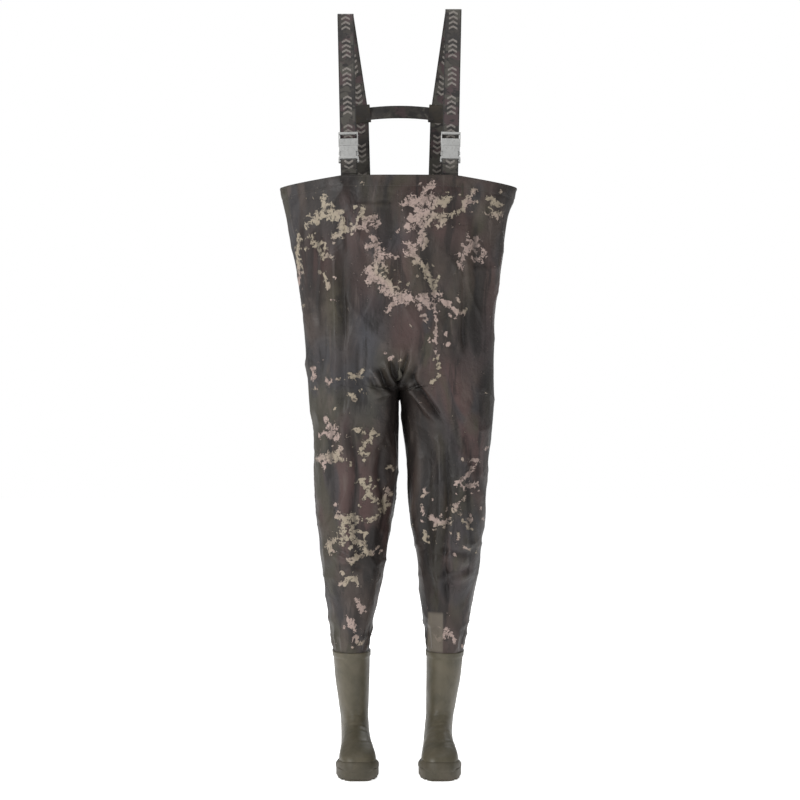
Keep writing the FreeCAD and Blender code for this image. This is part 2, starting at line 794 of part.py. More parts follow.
def sole_slab(inset, low, thick):
    slab = sole_face(inset).extrude(Vector(0, 0, thick))
    slab.translate(Vector(0, 0, low))
    return slab


def boot_upper(side, sign):
    """The moulded shaft and foot, open at the top, standing on the outsole."""
    skin = boot_loft(side, 0).cut(boot_loft(side, dim("boot_wall")))
    skin = skin.common(above(dim("sole_top"), 2 * BEYOND))
    shaped(f"boot_upper_{side}", mirrored(skin, sign), boot_placement(side, sign))


def outsole(side, sign):
    """The sole plate with cross cleats under the ball of the foot."""
    plate = sole_slab(0, dim("sole_low"), dim("sole_top") - dim("sole_low"))
    tread = sole_slab(3, 0, dim("sole_low"))
    front_y = -dim("sole_length") / 2 + 8
    for row in range(int(dim("cleat_count"))):
        start = Vector(-BEYOND, front_y + row * dim("cleat_pitch"), 0)
        bar = Part.makeBox(2 * BEYOND, dim("cleat_length"), dim("cleat_height"), start)
        plate = plate.fuse(tread.common(bar))
    shaped(f"outsole_{side}", mirrored(plate.removeSplitter(), sign), boot_placement(side, sign))


def heel_block(side, sign):
    """The raised heel under the back of the sole plate."""
    start = Vector(-BEYOND, dim("heel_front_y"), 0)
    back = Part.makeBox(2 * BEYOND, BEYOND, dim("sole_low"), start)
    heel = sole_slab(1, 0, dim("sole_low")).common(back)
    shaped(f"heel_block_{side}", mirrored(heel, sign), boot_placement(side, sign))


def insole(side, sign):
    """A loose footbed on the outsole, inside the upper."""
    bed = sole_slab(dim("insole_inset"), dim("sole_top") + 0.1, dim("insole_thick"))
    room = boot_loft(side, dim("boot_wall") + 0.5)
    shaped(f"insole_{side}", mirrored(bed.common(room), sign), boot_placement(side, sign))


def boot_collar(side, sign):
    """The welded band where the fabric leg joins the boot's shaft."""
    high = dim("boot_top_height")
    band = above(high - dim("collar_height"), dim("collar_height"))
    ring = boot_loft(side, -dim("collar_thick")).cut(boot_loft(side, -0.1)).common(band)
    shaped(f"boot_collar_{side}", mirrored(ring, sign), boot_placement(side, sign))


# ---------------------------------------------------------------- the whole garment


def build():
    fill_sheet()
    skin = fabric_shell("bib", BIB_STATIONS, "0", False)
    lining = tape_shell("bib_lining", BIB_STATIONS, "0", False)
    bib_panels(skin)
    bib_hem(lining)
    bib_tapes(lining)
    inner_pocket(lining)
    crotch_gusset()
    cross_strap()
    for side, sign in SIDES:
        leg(side, sign)
        shoulder_strap(side, sign)
        sleeve(side, sign)
        front_tab(side, sign)
        anchor_patches(side, sign)
        receiver(side, sign)
        clip(side, sign)
        prong(side, sign, "inner", -sign)
        prong(side, sign, "outer", sign)
        boot_upper(side, sign)
        outsole(side, sign)
        heel_block(side, sign)
        insole(side, sign)
        boot_collar(side, sign)
    document.recompute()


def check():
    """Stops before anything is written if an object failed or a sub-part has no valid shape."""
    faults = []
    for thing in document.Objects:
        if "Invalid" in thing.State or "Error" in thing.State:
            faults.append(f"{thing.Name}: {thing.State}")
    for piece in pieces:
        if piece.Shape.isNull() or not piece.Shape.isValid() or not piece.Shape.Solids:
            faults.append(f"{piece.Label}: no valid solid")
    if faults:
        raise RuntimeError("; ".join(faults))


def write():
    os.makedirs("parts", exist_ok=True)
    for piece in pieces:
        piece.Shape.exportStep(os.path.join("parts", f"{piece.Label}.step"))
        box = piece.Shape.BoundBox
        print(f"{piece.Label}: {len(piece.Shape.Solids)} solid, {piece.Shape.Volume:.0f} mm3, "
              f"X {box.XMin:.0f}..{box.XMax:.0f} Y {box.YMin:.0f}..{box.YMax:.0f} Z {box.ZMin:.0f}..{box.ZMax:.0f}")


build()
check()
write()
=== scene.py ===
import math

import bmesh
import bpy
import numpy as np
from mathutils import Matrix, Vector


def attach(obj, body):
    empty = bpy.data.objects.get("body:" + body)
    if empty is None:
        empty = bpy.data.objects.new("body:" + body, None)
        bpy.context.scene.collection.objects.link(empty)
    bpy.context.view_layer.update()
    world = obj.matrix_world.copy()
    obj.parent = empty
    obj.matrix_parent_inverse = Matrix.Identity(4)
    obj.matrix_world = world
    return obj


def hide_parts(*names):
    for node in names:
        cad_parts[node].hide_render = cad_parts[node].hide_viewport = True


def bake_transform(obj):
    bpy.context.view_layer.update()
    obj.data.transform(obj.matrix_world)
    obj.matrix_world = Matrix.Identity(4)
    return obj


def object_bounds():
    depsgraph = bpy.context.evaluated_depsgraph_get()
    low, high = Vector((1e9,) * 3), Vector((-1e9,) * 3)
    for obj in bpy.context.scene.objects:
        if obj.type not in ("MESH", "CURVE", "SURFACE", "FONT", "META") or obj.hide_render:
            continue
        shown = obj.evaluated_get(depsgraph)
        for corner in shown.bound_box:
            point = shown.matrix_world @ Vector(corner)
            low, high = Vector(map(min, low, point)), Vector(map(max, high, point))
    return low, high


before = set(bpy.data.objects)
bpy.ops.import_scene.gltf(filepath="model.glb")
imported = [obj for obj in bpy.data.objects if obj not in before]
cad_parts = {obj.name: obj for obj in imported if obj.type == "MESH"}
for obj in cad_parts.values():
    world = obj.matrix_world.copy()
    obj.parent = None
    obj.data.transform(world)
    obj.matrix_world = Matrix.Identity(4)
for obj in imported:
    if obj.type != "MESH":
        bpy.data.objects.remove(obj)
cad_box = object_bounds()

# The garment is worked out in millimetres: X across, Y front (-) to back (+), and height above the soles.
MM = 0.001
SOLE_Z = cad_box[0].z
SIDES = {"left": 1.0, "right": -1.0}


def up(height):
    """A height above the soles, in mm, as a Z of the row frame in metres."""
    return SOLE_Z + height * MM


def to_frame(points):
    """Points in garment millimetres as metres in the row frame."""
    moved = np.array(points, float) * MM
    moved[..., 2] += SOLE_Z
    return moved


# ---------------------------------------------------------------- small tools

LATTICE = np.random.default_rng(11).random((48, 48, 48)) * 2 - 1


def noise(points, scale, shift=0.0):
    """Smooth value noise from -1 to 1; scale is cycles per metre along X, Y and Z, points are in mm."""
    q = points * MM * np.array(scale, float) + shift * np.array([13.7, 7.9, 3.3]) + 400.0
    cell = np.floor(q).astype(int)
    part = q - cell
    part = part * part * (3 - 2 * part)
    total = np.zeros(points.shape[:-1])
    for dx in (0, 1):
        for dy in (0, 1):
            for dz in (0, 1):
                corner = LATTICE[(cell[..., 0] + dx) % 48, (cell[..., 1] + dy) % 48, (cell[..., 2] + dz) % 48]
                weight = np.abs(1 - dx - part[..., 0]) * np.abs(1 - dy - part[..., 1])
                total += corner * weight * np.abs(1 - dz - part[..., 2])
    return total


def ridges(points, scale, shift=0.0, sharp=3.0):
    """Thin raised lines from 0 to 1, where the noise crosses zero."""
    return (1 - np.abs(noise(points, scale, shift))) ** (sharp * 2)


def step(low, high, value):
    """0 below low, 1 above high, smooth between."""
    share = np.clip((np.asarray(value, float) - low) / (high - low), 0, 1)
    return share * share * (3 - 2 * share)


def bump(value, middle, width):
    return np.exp(-(((np.asarray(value, float) - middle) / width) ** 2))


def follow(stations, heights):
    """A value along the garment's height, from its stations, with the corners rounded off."""
    knots = sorted(stations)
    xs = [k[0] for k in knots]
    ys = [k[1] for k in knots]
    heights = np.asarray(heights, float)
    shifts = np.linspace(-24, 24, 9)
    return np.mean([np.interp(heights + d, xs, ys) for d in shifts], axis=0)


def distance_to_line(x, z, line):
    """How far points of a plane are from a polyline, on which side, and how far along it, from 0 to 1."""
    best = np.full(x.shape, 1e9)
    side = np.zeros(x.shape)
    share = np.zeros(x.shape)
    for number, ((ax, az), (bx, bz)) in enumerate(zip(line[:-1], line[1:])):
        dx, dz = bx - ax, bz - az
        length = max(dx * dx + dz * dz, 1e-6)
        t = np.clip(((x - ax) * dx + (z - az) * dz) / length, 0, 1)
        away = np.hypot(x - ax - t * dx, z - az - t * dz)
        nearer = away < best
        cross = (x - ax) * dz - (z - az) * dx
        side = np.where(nearer, np.sign(cross), side)
        share = np.where(nearer, (number + t) / (len(line) - 1), share)
        best = np.where(nearer, away, best)
    return best, side, share


# ---------------------------------------------------------------- mesh building


def new_object(name, vertices, faces, smooth=True):
    mesh = bpy.data.meshes.new(name)
    mesh.from_pydata([tuple(v) for v in vertices], [], [tuple(f) for f in faces])
    mesh.validate()
    if smooth:
        mesh.polygons.foreach_set("use_smooth", [True] * len(mesh.polygons))
    made = bpy.data.objects.new(name, mesh)
    bpy.context.scene.collection.objects.link(made)
    return made


def set_float(obj, name, values):
    attribute = obj.data.attributes.new(name, "FLOAT", "POINT")
    attribute.data.foreach_set("value", np.asarray(values, np.float32).ravel())


def set_vector(obj, name, values):
    attribute = obj.data.attributes.new(name, "FLOAT_VECTOR", "POINT")
    attribute.data.foreach_set("vector", np.asarray(values, np.float32).ravel())


def set_material(obj, material):
    obj.data.materials.clear()
    obj.data.materials.append(material)


# ---------------------------------------------------------------- materials


class Paint:
    """A material's node tree, with short ways to add the nodes that the recipes below need."""

    def __init__(self, name):
        self.material = bpy.data.materials.new(name)
        self.material.use_nodes = True
        self.tree = self.material.node_tree
        self.shader = self.tree.nodes["Principled BSDF"]

    def link(self, source, target):
        if hasattr(source, "is_output"):
            self.tree.links.new(source, target)
        else:
            target.default_value = source

    def node(self, kind, **settings):
        made = self.tree.nodes.new(kind)
        for key, value in settings.items():
            setattr(made, key, value)
        return made

    def rest(self):
        """Where a point of the fabric is at rest, in metres, so that a pattern stays on moving cloth."""
        return self.node("ShaderNodeAttribute", attribute_name="rest").outputs["Vector"]

    def attribute(self, name):
        return self.node("ShaderNodeAttribute", attribute_name=name).outputs["Fac"]

    def place(self):
        return self.node("ShaderNodeTexCoord").outputs["Object"]

    def stretch(self, vector, scale):
        made = self.node("ShaderNodeMapping")
        self.link(vector, made.inputs["Vector"])
        made.inputs["Scale"].default_value = scale
        return made.outputs["Vector"]

    def noise(self, vector, scale, detail=3.0, rough=0.55, twist=0.0):
        made = self.node("ShaderNodeTexNoise")
        self.link(vector, made.inputs["Vector"])
        made.inputs["Scale"].default_value = scale
        made.inputs["Detail"].default_value = detail
        made.inputs["Roughness"].default_value = rough
        made.inputs["Distortion"].default_value = twist
        return made.outputs["Fac"]

    def math(self, operation, a, b=0.0):
        made = self.node("ShaderNodeMath", operation=operation)
        self.link(a, made.inputs[0])
        self.link(b, made.inputs[1])
        return made.outputs[0]

    def ramp(self, value, low, high, to_low=0.0, to_high=1.0):
        made = self.node("ShaderNodeMapRange", interpolation_type="SMOOTHSTEP")
        self.link(value, made.inputs["Value"])
        made.inputs["From Min"].default_value = low
        made.inputs["From Max"].default_value = high
        made.inputs["To Min"].default_value = to_low
        made.inputs["To Max"].default_value = to_high
        return made.outputs["Result"]

    def mix(self, factor, a, b, blend="MIX"):
        made = self.node("ShaderNodeMix", data_type="RGBA", blend_type=blend)
        self.link(factor, made.inputs["Factor"])
        self.link(a, made.inputs[6])
        self.link(b, made.inputs[7])
        return made.outputs[2]

    def dent(self, height, strength, distance, under=None):
        made = self.node("ShaderNodeBump")
        self.link(height, made.inputs["Height"])
        made.inputs["Strength"].default_value = strength
        made.inputs["Distance"].default_value = distance
        if under is not None:
            self.link(under, made.inputs["Normal"])
        return made.outputs["Normal"]

    def finish(self, color, roughness, normal=None, **uniform):
        self.link(color, self.shader.inputs["Base Color"])
        self.link(roughness, self.shader.inputs["Roughness"])
        if normal is not None:
            self.link(normal, self.shader.inputs["Normal"])
        for key, value in uniform.items():
            self.shader.inputs[key.replace("_", " ")].default_value = value
        return self.material


def srgb(red, green, blue):
    """A colour given as 0 to 255 values, as the linear colour that a shader wants."""
    def linear(value):
        share = value / 255
        return share / 12.92 if share <= 0.04045 else ((share + 0.055) / 1.055) ** 2.4

    return (linear(red), linear(green), linear(blue), 1.0)


def camo_material():
    """Coated camouflage cloth: blurred dark blotches under ragged pale bark, with crisp little creases and
    painted shade darkening the valleys of the big folds.
    """
    p = Paint("camo_cloth")
    rest = p.rest()
    tall = p.stretch(rest, (1.0, 1.0, 0.45))
    base = p.mix(p.ramp(p.noise(tall, 9, 3, 0.6, 0.6), 0.4, 0.6), srgb(36, 31, 29), srgb(60, 52, 48))
    base = p.mix(p.ramp(p.noise(tall, 6.3, 2, 0.5, 0.4), 0.48, 0.62, 0.0, 0.8), base, srgb(69, 53, 51))
    base = p.mix(p.attribute("maroon"), base, srgb(79, 58, 56))
    base = p.mix(p.ramp(p.noise(tall, 8.3, 2, 0.5, 0.7), 0.51, 0.63, 0.0, 0.8), base, srgb(50, 49, 51))
    base = p.mix(p.ramp(p.noise(tall, 7.7, 3, 0.5, 0.8), 0.51, 0.64, 0.0, 0.8), base, srgb(57, 54, 44))
    base = p.mix(p.attribute("slate"), base, srgb(52, 53, 58))
    base = p.mix(p.attribute("olive"), base, srgb(67, 62, 49))
    streaks = p.noise(p.stretch(rest, (1.0, 1.0, 0.22)), 24, 4, 0.6, 0.5)
    base = p.mix(p.ramp(streaks, 0.5, 0.62, 0.0, 0.7), base, srgb(25, 22, 21))
    base = p.mix(p.ramp(streaks, 0.44, 0.3, 0.0, 0.5), base, srgb(84, 75, 70))
    base = p.mix(p.attribute("shadow"), base, srgb(24, 21, 20))
    twigs = p.noise(rest, 70, 6, 0.7, 1.2)
    ragged = p.math("MULTIPLY", p.math("SUBTRACT", twigs, 0.5), 3.4)
    field = p.math("ADD", p.attribute("bark"), ragged)
    holes = p.ramp(p.noise(rest, 115, 3, 0.6, 0.8), 0.56, 0.64, 0.0, 0.8)
    edge = p.ramp(field, 0.32, 0.52, 0.0, 0.7)
    base = p.mix(edge, base, srgb(24, 21, 20))
    pale = p.mix(p.ramp(p.noise(rest, 7, 2), 0.46, 0.6), srgb(148, 131, 124), srgb(138, 128, 112))
    pale = p.mix(p.ramp(p.noise(rest, 60, 4, 0.7), 0.46, 0.7, 0.0, 0.6), pale, srgb(88, 77, 71))
    pale = p.mix(holes, pale, srgb(52, 45, 41))
    base = p.mix(p.ramp(field, 0.56, 0.64), base, pale)
    base = p.mix(p.attribute("label"), base, p.mix(p.noise(rest, 26, 3), srgb(80, 73, 66), srgb(104, 97, 86)))
    # Painted shade: the colour is darkened along the valleys of the big folds, where shade falls.
    base = p.mix(p.ramp(p.attribute("painted_fold_shade"), 0.35, 1.0, 0.0, 0.6), base, srgb(22, 19, 18))
    weave = p.noise(rest, 1400, 2, 0.6)
    base = p.mix(p.ramp(weave, 0.3, 0.7, 0.0, 0.16), base, srgb(128, 122, 112), "OVERLAY")
    crumple = p.math("ABSOLUTE", p.math("SUBTRACT", p.noise(rest, 22, 4, 0.55, 0.8), 0.5))
    fine = p.math("ABSOLUTE", p.math("SUBTRACT", p.noise(p.stretch(rest, (1, 1, 0.6)), 75, 3, 0.5, 0.6), 0.5))
    normal = p.dent(crumple, 0.55, 0.006)
    normal = p.dent(fine, 0.35, 0.0022, normal)
    normal = p.dent(weave, 0.12, 0.0004, normal)
    rough = p.ramp(p.noise(rest, 18, 3), 0.3, 0.7, 0.46, 0.6)
    return p.finish(base, rough, normal, Specular_IOR_Level=0.26)


def lining_material():
    """The cloth's plain, dark inner coating."""
    p = Paint("cloth_inside")
    place = p.place()
    color = p.mix(p.noise(place, 40, 4, 0.6), srgb(52, 50, 44), srgb(70, 66, 58))
    weave = p.noise(place, 1300, 2, 0.6)
    normal = p.dent(weave, 0.2, 0.0004, p.dent(p.noise(place, 60, 3), 0.3, 0.003))
    return p.finish(color, p.ramp(weave, 0.3, 0.7, 0.5, 0.65), normal, Specular_IOR_Level=0.35)


def tape_material():
    """Smooth heat-sealed tape."""
    p = Paint("seam_tape")
    place = p.place()
    color = p.mix(p.noise(place, 90, 3), srgb(40, 39, 36), srgb(54, 52, 47))
    normal = p.dent(p.noise(place, 240, 3), 0.25, 0.0008)
    return p.finish(color, p.ramp(p.noise(place, 50), 0.3, 0.7, 0.3, 0.45), normal, Specular_IOR_Level=0.5)


def patch_material():
    """Heavier dark woven cloth of the sleeves and patches."""
    p = Paint("patch_cloth")
    place = p.place()
    color = p.mix(p.ramp(p.noise(place, 30, 3, 0.6, 0.6), 0.4, 0.62), srgb(34, 31, 29), srgb(48, 42, 33))
    weave = p.noise(place, 900, 2, 0.6)
    color = p.mix(p.ramp(weave, 0.35, 0.7, 0.0, 0.2), color, srgb(76, 71, 64))
    normal = p.dent(weave, 0.35, 0.0006, p.dent(p.noise(place, 90, 3), 0.3, 0.002))
    return p.finish(color, p.ramp(weave, 0.3, 0.7, 0.6, 0.75), normal, Specular_IOR_Level=0.3)


def webbing_material():
    """Woven nylon webbing: slanted ribs, darker selvedges, dim camouflage and a row of plain chevrons."""
    p = Paint("webbing")
    along = p.attribute("along")
    across = p.attribute("across")
    place = p.rest()
    tone = p.mix(p.ramp(p.noise(place, 34, 3, 0.6, 0.8), 0.4, 0.6), srgb(38, 35, 34), srgb(56, 51, 47))
    tone = p.mix(p.ramp(p.noise(place, 21, 2), 0.52, 0.56), tone, srgb(66, 52, 53))
    tone = p.mix(p.ramp(p.noise(place, 25, 2, 0.5, 0.5), 0.55, 0.59), tone, srgb(68, 65, 59))
    dark = p.ramp(p.noise(p.stretch(place, (1, 1, 1.6)), 52, 2, 0.5, 0.6), 0.56, 0.66)
    tone = p.mix(dark, tone, srgb(32, 29, 28))
    edge = p.ramp(p.math("ABSOLUTE", across), 0.82, 0.9, 0.0, 0.75)
    tone = p.mix(edge, tone, srgb(26, 24, 23))
    distance = p.math("ABSOLUTE", across)
    slanted = p.math("ADD", along, p.math("MULTIPLY", distance, 0.011))
    group = p.math("MODULO", slanted, 0.071)
    stripe = p.math("MODULO", group, 0.0125)
    chevron = p.math("MULTIPLY", p.ramp(stripe, 0.001, 0.0015), p.ramp(stripe, 0.0068, 0.0062))
    chevron = p.math("MULTIPLY", chevron, p.ramp(group, 0.0502, 0.0498))
    chevron = p.math("MULTIPLY", chevron, p.ramp(distance, 0.56, 0.5))
    chevron = p.math("MULTIPLY", chevron, p.attribute("motif"))
    threads = p.node("ShaderNodeTexWave", wave_type="BANDS", bands_direction="X", wave_profile="SIN")
    combine = p.node("ShaderNodeCombineXYZ")
    p.link(p.math("ADD", along, p.math("MULTIPLY", distance, 0.004)), combine.inputs[0])
    p.link(combine.outputs[0], threads.inputs["Vector"])
    threads.inputs["Scale"].default_value = 180
    rib = threads.outputs["Fac"]
    worn = p.math("MULTIPLY", chevron, p.ramp(p.noise(place, 260, 3, 0.6), 0.3, 0.55, 0.45, 0.85))
    color = p.mix(worn, tone, srgb(132, 126, 120))
    color = p.mix(p.ramp(rib, 0.2, 0.9, 0.35, 0.0), color, srgb(26, 24, 22))
    normal = p.dent(rib, 0.5, 0.0006, p.dent(p.noise(place, 500, 2), 0.3, 0.0005))
    return p.finish(color, p.ramp(rib, 0, 1, 0.7, 0.55), normal, Specular_IOR_Level=0.3, Sheen_Weight=0.15)


def buckle_material():
    """Pale grey moulded acetal, a little shinier where it is handled."""
    p = Paint("buckle_plastic")
    place = p.place()
    color = p.mix(p.noise(place, 60, 3), srgb(128, 128, 127), srgb(160, 160, 158))
    color = p.mix(p.ramp(p.noise(place, 420, 4, 0.7), 0.58, 0.75, 0.0, 0.12), color, srgb(92, 91, 89))
    normal = p.dent(p.noise(place, 2200, 2), 0.15, 0.0002, p.dent(p.noise(place, 90, 2), 0.3, 0.001))
    return p.finish(color, p.ramp(p.noise(place, 160), 0.3, 0.7, 0.22, 0.38), normal, Specular_IOR_Level=0.9)


def boot_material(name, dark, light, low, high):
    """Moulded olive rubber with a faint bloom, scuffs and a fine grain."""
    p = Paint(name)
    place = p.place()
    color = p.mix(p.ramp(p.noise(place, 16, 4, 0.6, 0.4), 0.3, 0.7), dark, light)
    color = p.mix(p.ramp(p.noise(place, 55, 5, 0.7, 0.6), 0.56, 0.78, 0.0, 0.35), color, srgb(100, 95, 80))
    scuffs = p.noise(p.stretch(place, (1, 1, 0.3)), 150, 4, 0.7, 1.0)
    color = p.mix(p.ramp(scuffs, 0.62, 0.76, 0.0, 0.4), color, srgb(50, 47, 37))
    grain = p.noise(place, 900, 3, 0.6)
    normal = p.dent(grain, 0.12, 0.0005, p.dent(p.noise(place, 24, 3), 0.25, 0.004))
    even = p.ramp(p.noise(place, 30, 4), 0.3, 0.7, low, high)
    rough = p.math("ADD", even, p.ramp(scuffs, 0.6, 0.8, 0.0, 0.12))
    return p.finish(color, rough, normal, Specular_IOR_Level=0.34)


def thread_material():
    p = Paint("thread")
    place = p.place()
    color = p.mix(p.noise(place, 800, 2), srgb(48, 43, 38), srgb(66, 60, 52))
    return p.finish(color, 0.6, p.dent(p.noise(place, 2600, 2), 0.4, 0.0002), Sheen_Weight=0.2)


FLOOR_GLOW = 0.72


def floor_material():
    p = Paint("studio_floor")
    place = p.place()
    color = p.mix(p.noise(place, 2, 3), srgb(250, 250, 250), srgb(254, 254, 254))
    p.shader.inputs["Emission Color"].default_value = (1, 1, 1, 1)
    return p.finish(color, 0.85, None, Specular_IOR_Level=0.1, Emission_Strength=FLOOR_GLOW)


CAMO = camo_material()
INSIDE = lining_material()
TAPE = tape_material()
WEBBING = webbing_material()
PLASTIC = buckle_material()
PATCH = patch_material()
BOOT = boot_material("boot_rubber", srgb(62, 58, 45), srgb(82, 76, 62), 0.42, 0.54)
SOLE = boot_material("sole_rubber", srgb(58, 54, 42), srgb(74, 68, 56), 0.52, 0.64)
THREAD = thread_material()

# ---------------------------------------------------------------- the garment's form

# Every table pairs a height above the soles with a size there, in millimetres.
CROTCH = 893
SEAT_CURVE = 95
MERGE = (740, 1120)
TOP = 1382
CUFF_END = 261
ROW_PITCH = 4.4
COLUMNS = 152
CLOTH = 1.1
KNEE_CUT = 650
CUFF_CUT = 372
HEM_BAND = 27
LEVEL_HALF = 130
SIDE_REACH = 275
SIDE_DROP = 21
BACK_TOP = 1350
BACK_RISE = 11
HEM_ZONE = 1290

OUTER = {
    "left": (
        (1400, 281), (1300, 258), (1160, 239), (1080, 227), (980, 224), (830, 225), (720, 207), (580, 201),
        (440, 182), (330, 162), (270, 152), (240, 151.5),
    ),
    "right": (
        (1400, 284), (1300, 268), (1160, 242), (1080, 230), (980, 223), (860, 215), (800, 203), (660, 202),
        (580, 192.5), (500, 189), (360, 168), (270, 158), (240, 157.5),
    ),
}
INNER = {
    "left": (
        (893, 2), (860, 7), (800, 8), (720, 20), (580, 30), (500, 43), (380, 52), (300, 65), (270, 62.7),
        (240, 63),
    ),
    "right": (
        (893, 2), (860, 3.5), (720, 4), (640, 12), (500, 33), (370, 56), (300, 68), (270, 69), (240, 69.3),
    ),
}
FRONT_DEPTH = (
    (1400, 127), (1300, 131), (1160, 130), (1020, 127), (890, 116), (790, 109), (580, 101), (500, 96),
    (440, 85), (360, 74.5), (270, 67), (240, 67),
)
BACK_DEPTH = (
    (1400, 134), (1300, 133), (1160, 129), (1020, 131), (960, 131), (890, 121), (790, 111), (580, 99),
    (500, 94), (440, 83), (360, 74), (270, 67), (240, 67),
)
MIDDLE_Y = (
    (1400, 0), (1160, 1), (1020, 3), (790, 3), (720, 0), (610, -4), (510, -7), (400, -4), (330, 1), (270, 7),
    (240, 7.5),
)
ROUNDNESS = ((1400, 2.2), (1158, 2.35), (1020, 2.3), (893, 2.15), (700, 2.05), (240, 2.0))

# Folds seen from the front or the back: a line of (X, height) points, its half width and its depth.
FOLDS = (
    ("front", ((-114, 1321), (-60, 1317), (-8, 1320)), 4, 1.7),
    ("front", ((-117, 1316), (-118, 1250), (-116, 1180)), 5, 1.0),
    ("front", ((-128, 1236), (-131, 1130), (-129, 1010), (-131, 880), (-128, 770)), 9, 4.6),
    ("front", ((-96, 1030), (-100, 940), (-92, 860)), 16, 3.0),
    ("front", ((145, 1216), (150, 1120), (147, 1010), (152, 960)), 9, 4.2),
    ("front", ((186, 1330), (176, 1240), (181, 1130), (172, 1000)), 14, 3.4),
    ("front", ((-196, 1330), (-186, 1220), (-192, 1080), (-178, 960)), 14, 3.2),
    ("front", ((-60, 1330), (-52, 1240), (-58, 1140)), 20, 2.4),
    ("front", ((70, 1320), (64, 1220), (74, 1110), (66, 1010)), 20, 2.6),
    ("front", ((14, 942), (44, 898), (76, 858), (112, 812)), 7, 7.0),
    ("front", ((112, 812), (109, 740), (111, 640), (106, 520), (110, 400), (104, 345)), 8, 5.0),
    ("front", ((-52, 950), (-38, 925), (-30, 898), (-10, 884)), 8, 6.5),
    ("front", ((-64, 930), (-54, 900), (-30, 872)), 8, 4.5),
    ("front", ((-20, 968), (-14, 930), (-2, 900)), 6, 5.0),
    ("front", ((24, 990), (14, 940), (6, 905)), 6, 4.5),
    ("front", ((48, 962), (30, 915), (14, 890)), 8, 4.5),
    ("front", ((-90, 910), (-112, 800), (-100, 700), (-108, 610), (-96, 500), (-104, 400)), 10, 3.6),
    ("front", ((-150, 860), (-164, 760), (-156, 660), (-164, 540)), 12, 3.0),
    ("front", ((160, 860), (166, 740), (158, 640), (164, 520), (152, 420)), 12, 3.2),
    ("front", ((58, 800), (66, 700), (60, 590), (74, 480)), 12, 3.0),
    ("front", ((-40, 800), (-50, 700), (-44, 600), (-62, 500)), 12, 3.2),
    ("front", ((-160, 520), (-120, 505), (-70, 515)), 9, 2.6),
    ("front", ((-155, 470), (-115, 480), (-70, 462)), 8, 2.4),
    ("front", ((70, 505), (120, 520), (175, 500)), 9, 2.6),
    ("front", ((80, 470), (125, 462), (165, 478)), 8, 2.2),
    ("back", ((-110, 1240), (-100, 1120), (-108, 1000)), 12, 4.0),
    ("back", ((104, 1250), (112, 1130), (100, 1000)), 12, 4.0),
    ("back", ((30, 1230), (22, 1110), (34, 1010)), 16, 3.0),
    ("back", ((-36, 1200), (-28, 1100), (-34, 1000)), 16, 3.0),
    ("back", ((10, 905), (60, 868), (120, 846), (180, 850)), 9, 6.0),
    ("back", ((-10, 905), (-58, 872), (-118, 850), (-176, 846)), 9, 6.0),
    ("back", ((14, 880), (70, 836), (140, 815)), 10, 4.0),
    ("back", ((-14, 880), (-74, 838), (-138, 820)), 10, 4.0),
    ("back", ((0, 960), (30, 930), (60, 915)), 8, 3.4),
    ("back", ((0, 965), (-30, 938), (-64, 920)), 8, 3.4),
    ("back", ((60, 530), (112, 515), (170, 530)), 8, 5.0),
    ("back", ((-60, 528), (-112, 512), (-170, 532)), 8, 5.0),
    ("back", ((66, 498), (112, 482), (165, 500)), 8, 4.4),
    ("back", ((-66, 500), (-112, 484), (-165, 498)), 8, 4.4),
    ("back", ((70, 462), (112, 455), (160, 468)), 8, 3.4),
    ("back", ((-70, 464), (-112, 452), (-160, 466)), 8, 3.4),
    ("back", ((120, 780), (112, 690), (122, 600)), 12, 3.4),
    ("back", ((-118, 780), (-110, 690), (-122, 600)), 12, 3.4),
)


def row_heights():
    count = int(round((TOP - CUFF_END) / ROW_PITCH)) + 1
    return np.linspace(TOP, CUFF_END, count)


def half_form(side):
    """One half of the garment as rows of points: an open arc above the crotch and a closed leg below it."""
    heights = row_heights()
    outer = follow(OUTER[side], heights)
    inner = follow(INNER[side], heights)
    front = follow(FRONT_DEPTH, heights)
    back = follow(BACK_DEPTH, heights)
    middle = follow(MIDDLE_Y, heights)
    power = follow(ROUNDNESS, heights)
    rows = []
    for h, out, inn, fro, bac, mid, n in zip(heights, outer, inner, front, back, middle, power):
        centre = (out + inn) / 2 * (1 - float(step(*MERGE, h)))
        inward = centre - inn
        last = math.pi
        if h > CROTCH:
            part = max(0.0, (CROTCH + SEAT_CURVE - h) / SEAT_CURVE)
            open_share = math.sqrt(1 - part * part)
            closed = max(1e-9, 1 - open_share ** n)
            inward = max(centre, 1e-3) / closed ** (1 / n)
            last = math.acos(-min(1.0, (centre / inward) ** (n / 2)))
        angle = np.linspace(-last, last, 721)
        cos, sin = np.cos(angle), np.sin(angle)
        reach = np.where(cos > 0, out - centre, inward)
        x = centre + reach * np.sign(cos) * np.abs(cos) ** (2 / n)
        deep = np.where(sin < 0, fro, bac)
        y = mid + deep * np.sign(sin) * np.abs(sin) ** (2 / n)
        if h > CROTCH:
            x[[0, -1]] = 0.0
        yaw = math.radians(BOOT_STANCE[side][1]) * float(step(360, 275, h))
        x, y = (
            centre + (x - centre) * math.cos(yaw) - (y - mid) * math.sin(yaw),
            mid + (x - centre) * math.sin(yaw) + (y - mid) * math.cos(yaw),
        )
        run = np.concatenate([[0], np.cumsum(np.hypot(np.diff(x), np.diff(y)))])
        at = np.linspace(0, run[-1], COLUMNS + 1)
        rows.append(np.stack([np.interp(at, run, x), np.interp(at, run, y), np.full(at.shape, h)], axis=1))
    points = np.array(rows)
    points[..., 0] *= SIDES[side]
    return raise_hem(points)


def hem_height(points):
    """The top edge: level between the front straps, then sloping down to the sides and the back."""
    x = np.abs(points[..., 0])
    front = TOP - SIDE_DROP * np.clip((x - LEVEL_HALF) / (SIDE_REACH - LEVEL_HALF), 0, 1)
    back = BACK_TOP + BACK_RISE * np.clip(x / SIDE_REACH, 0, 1)
    share = step(-30, 30, points[..., 1])
    return front * (1 - share) + back * share


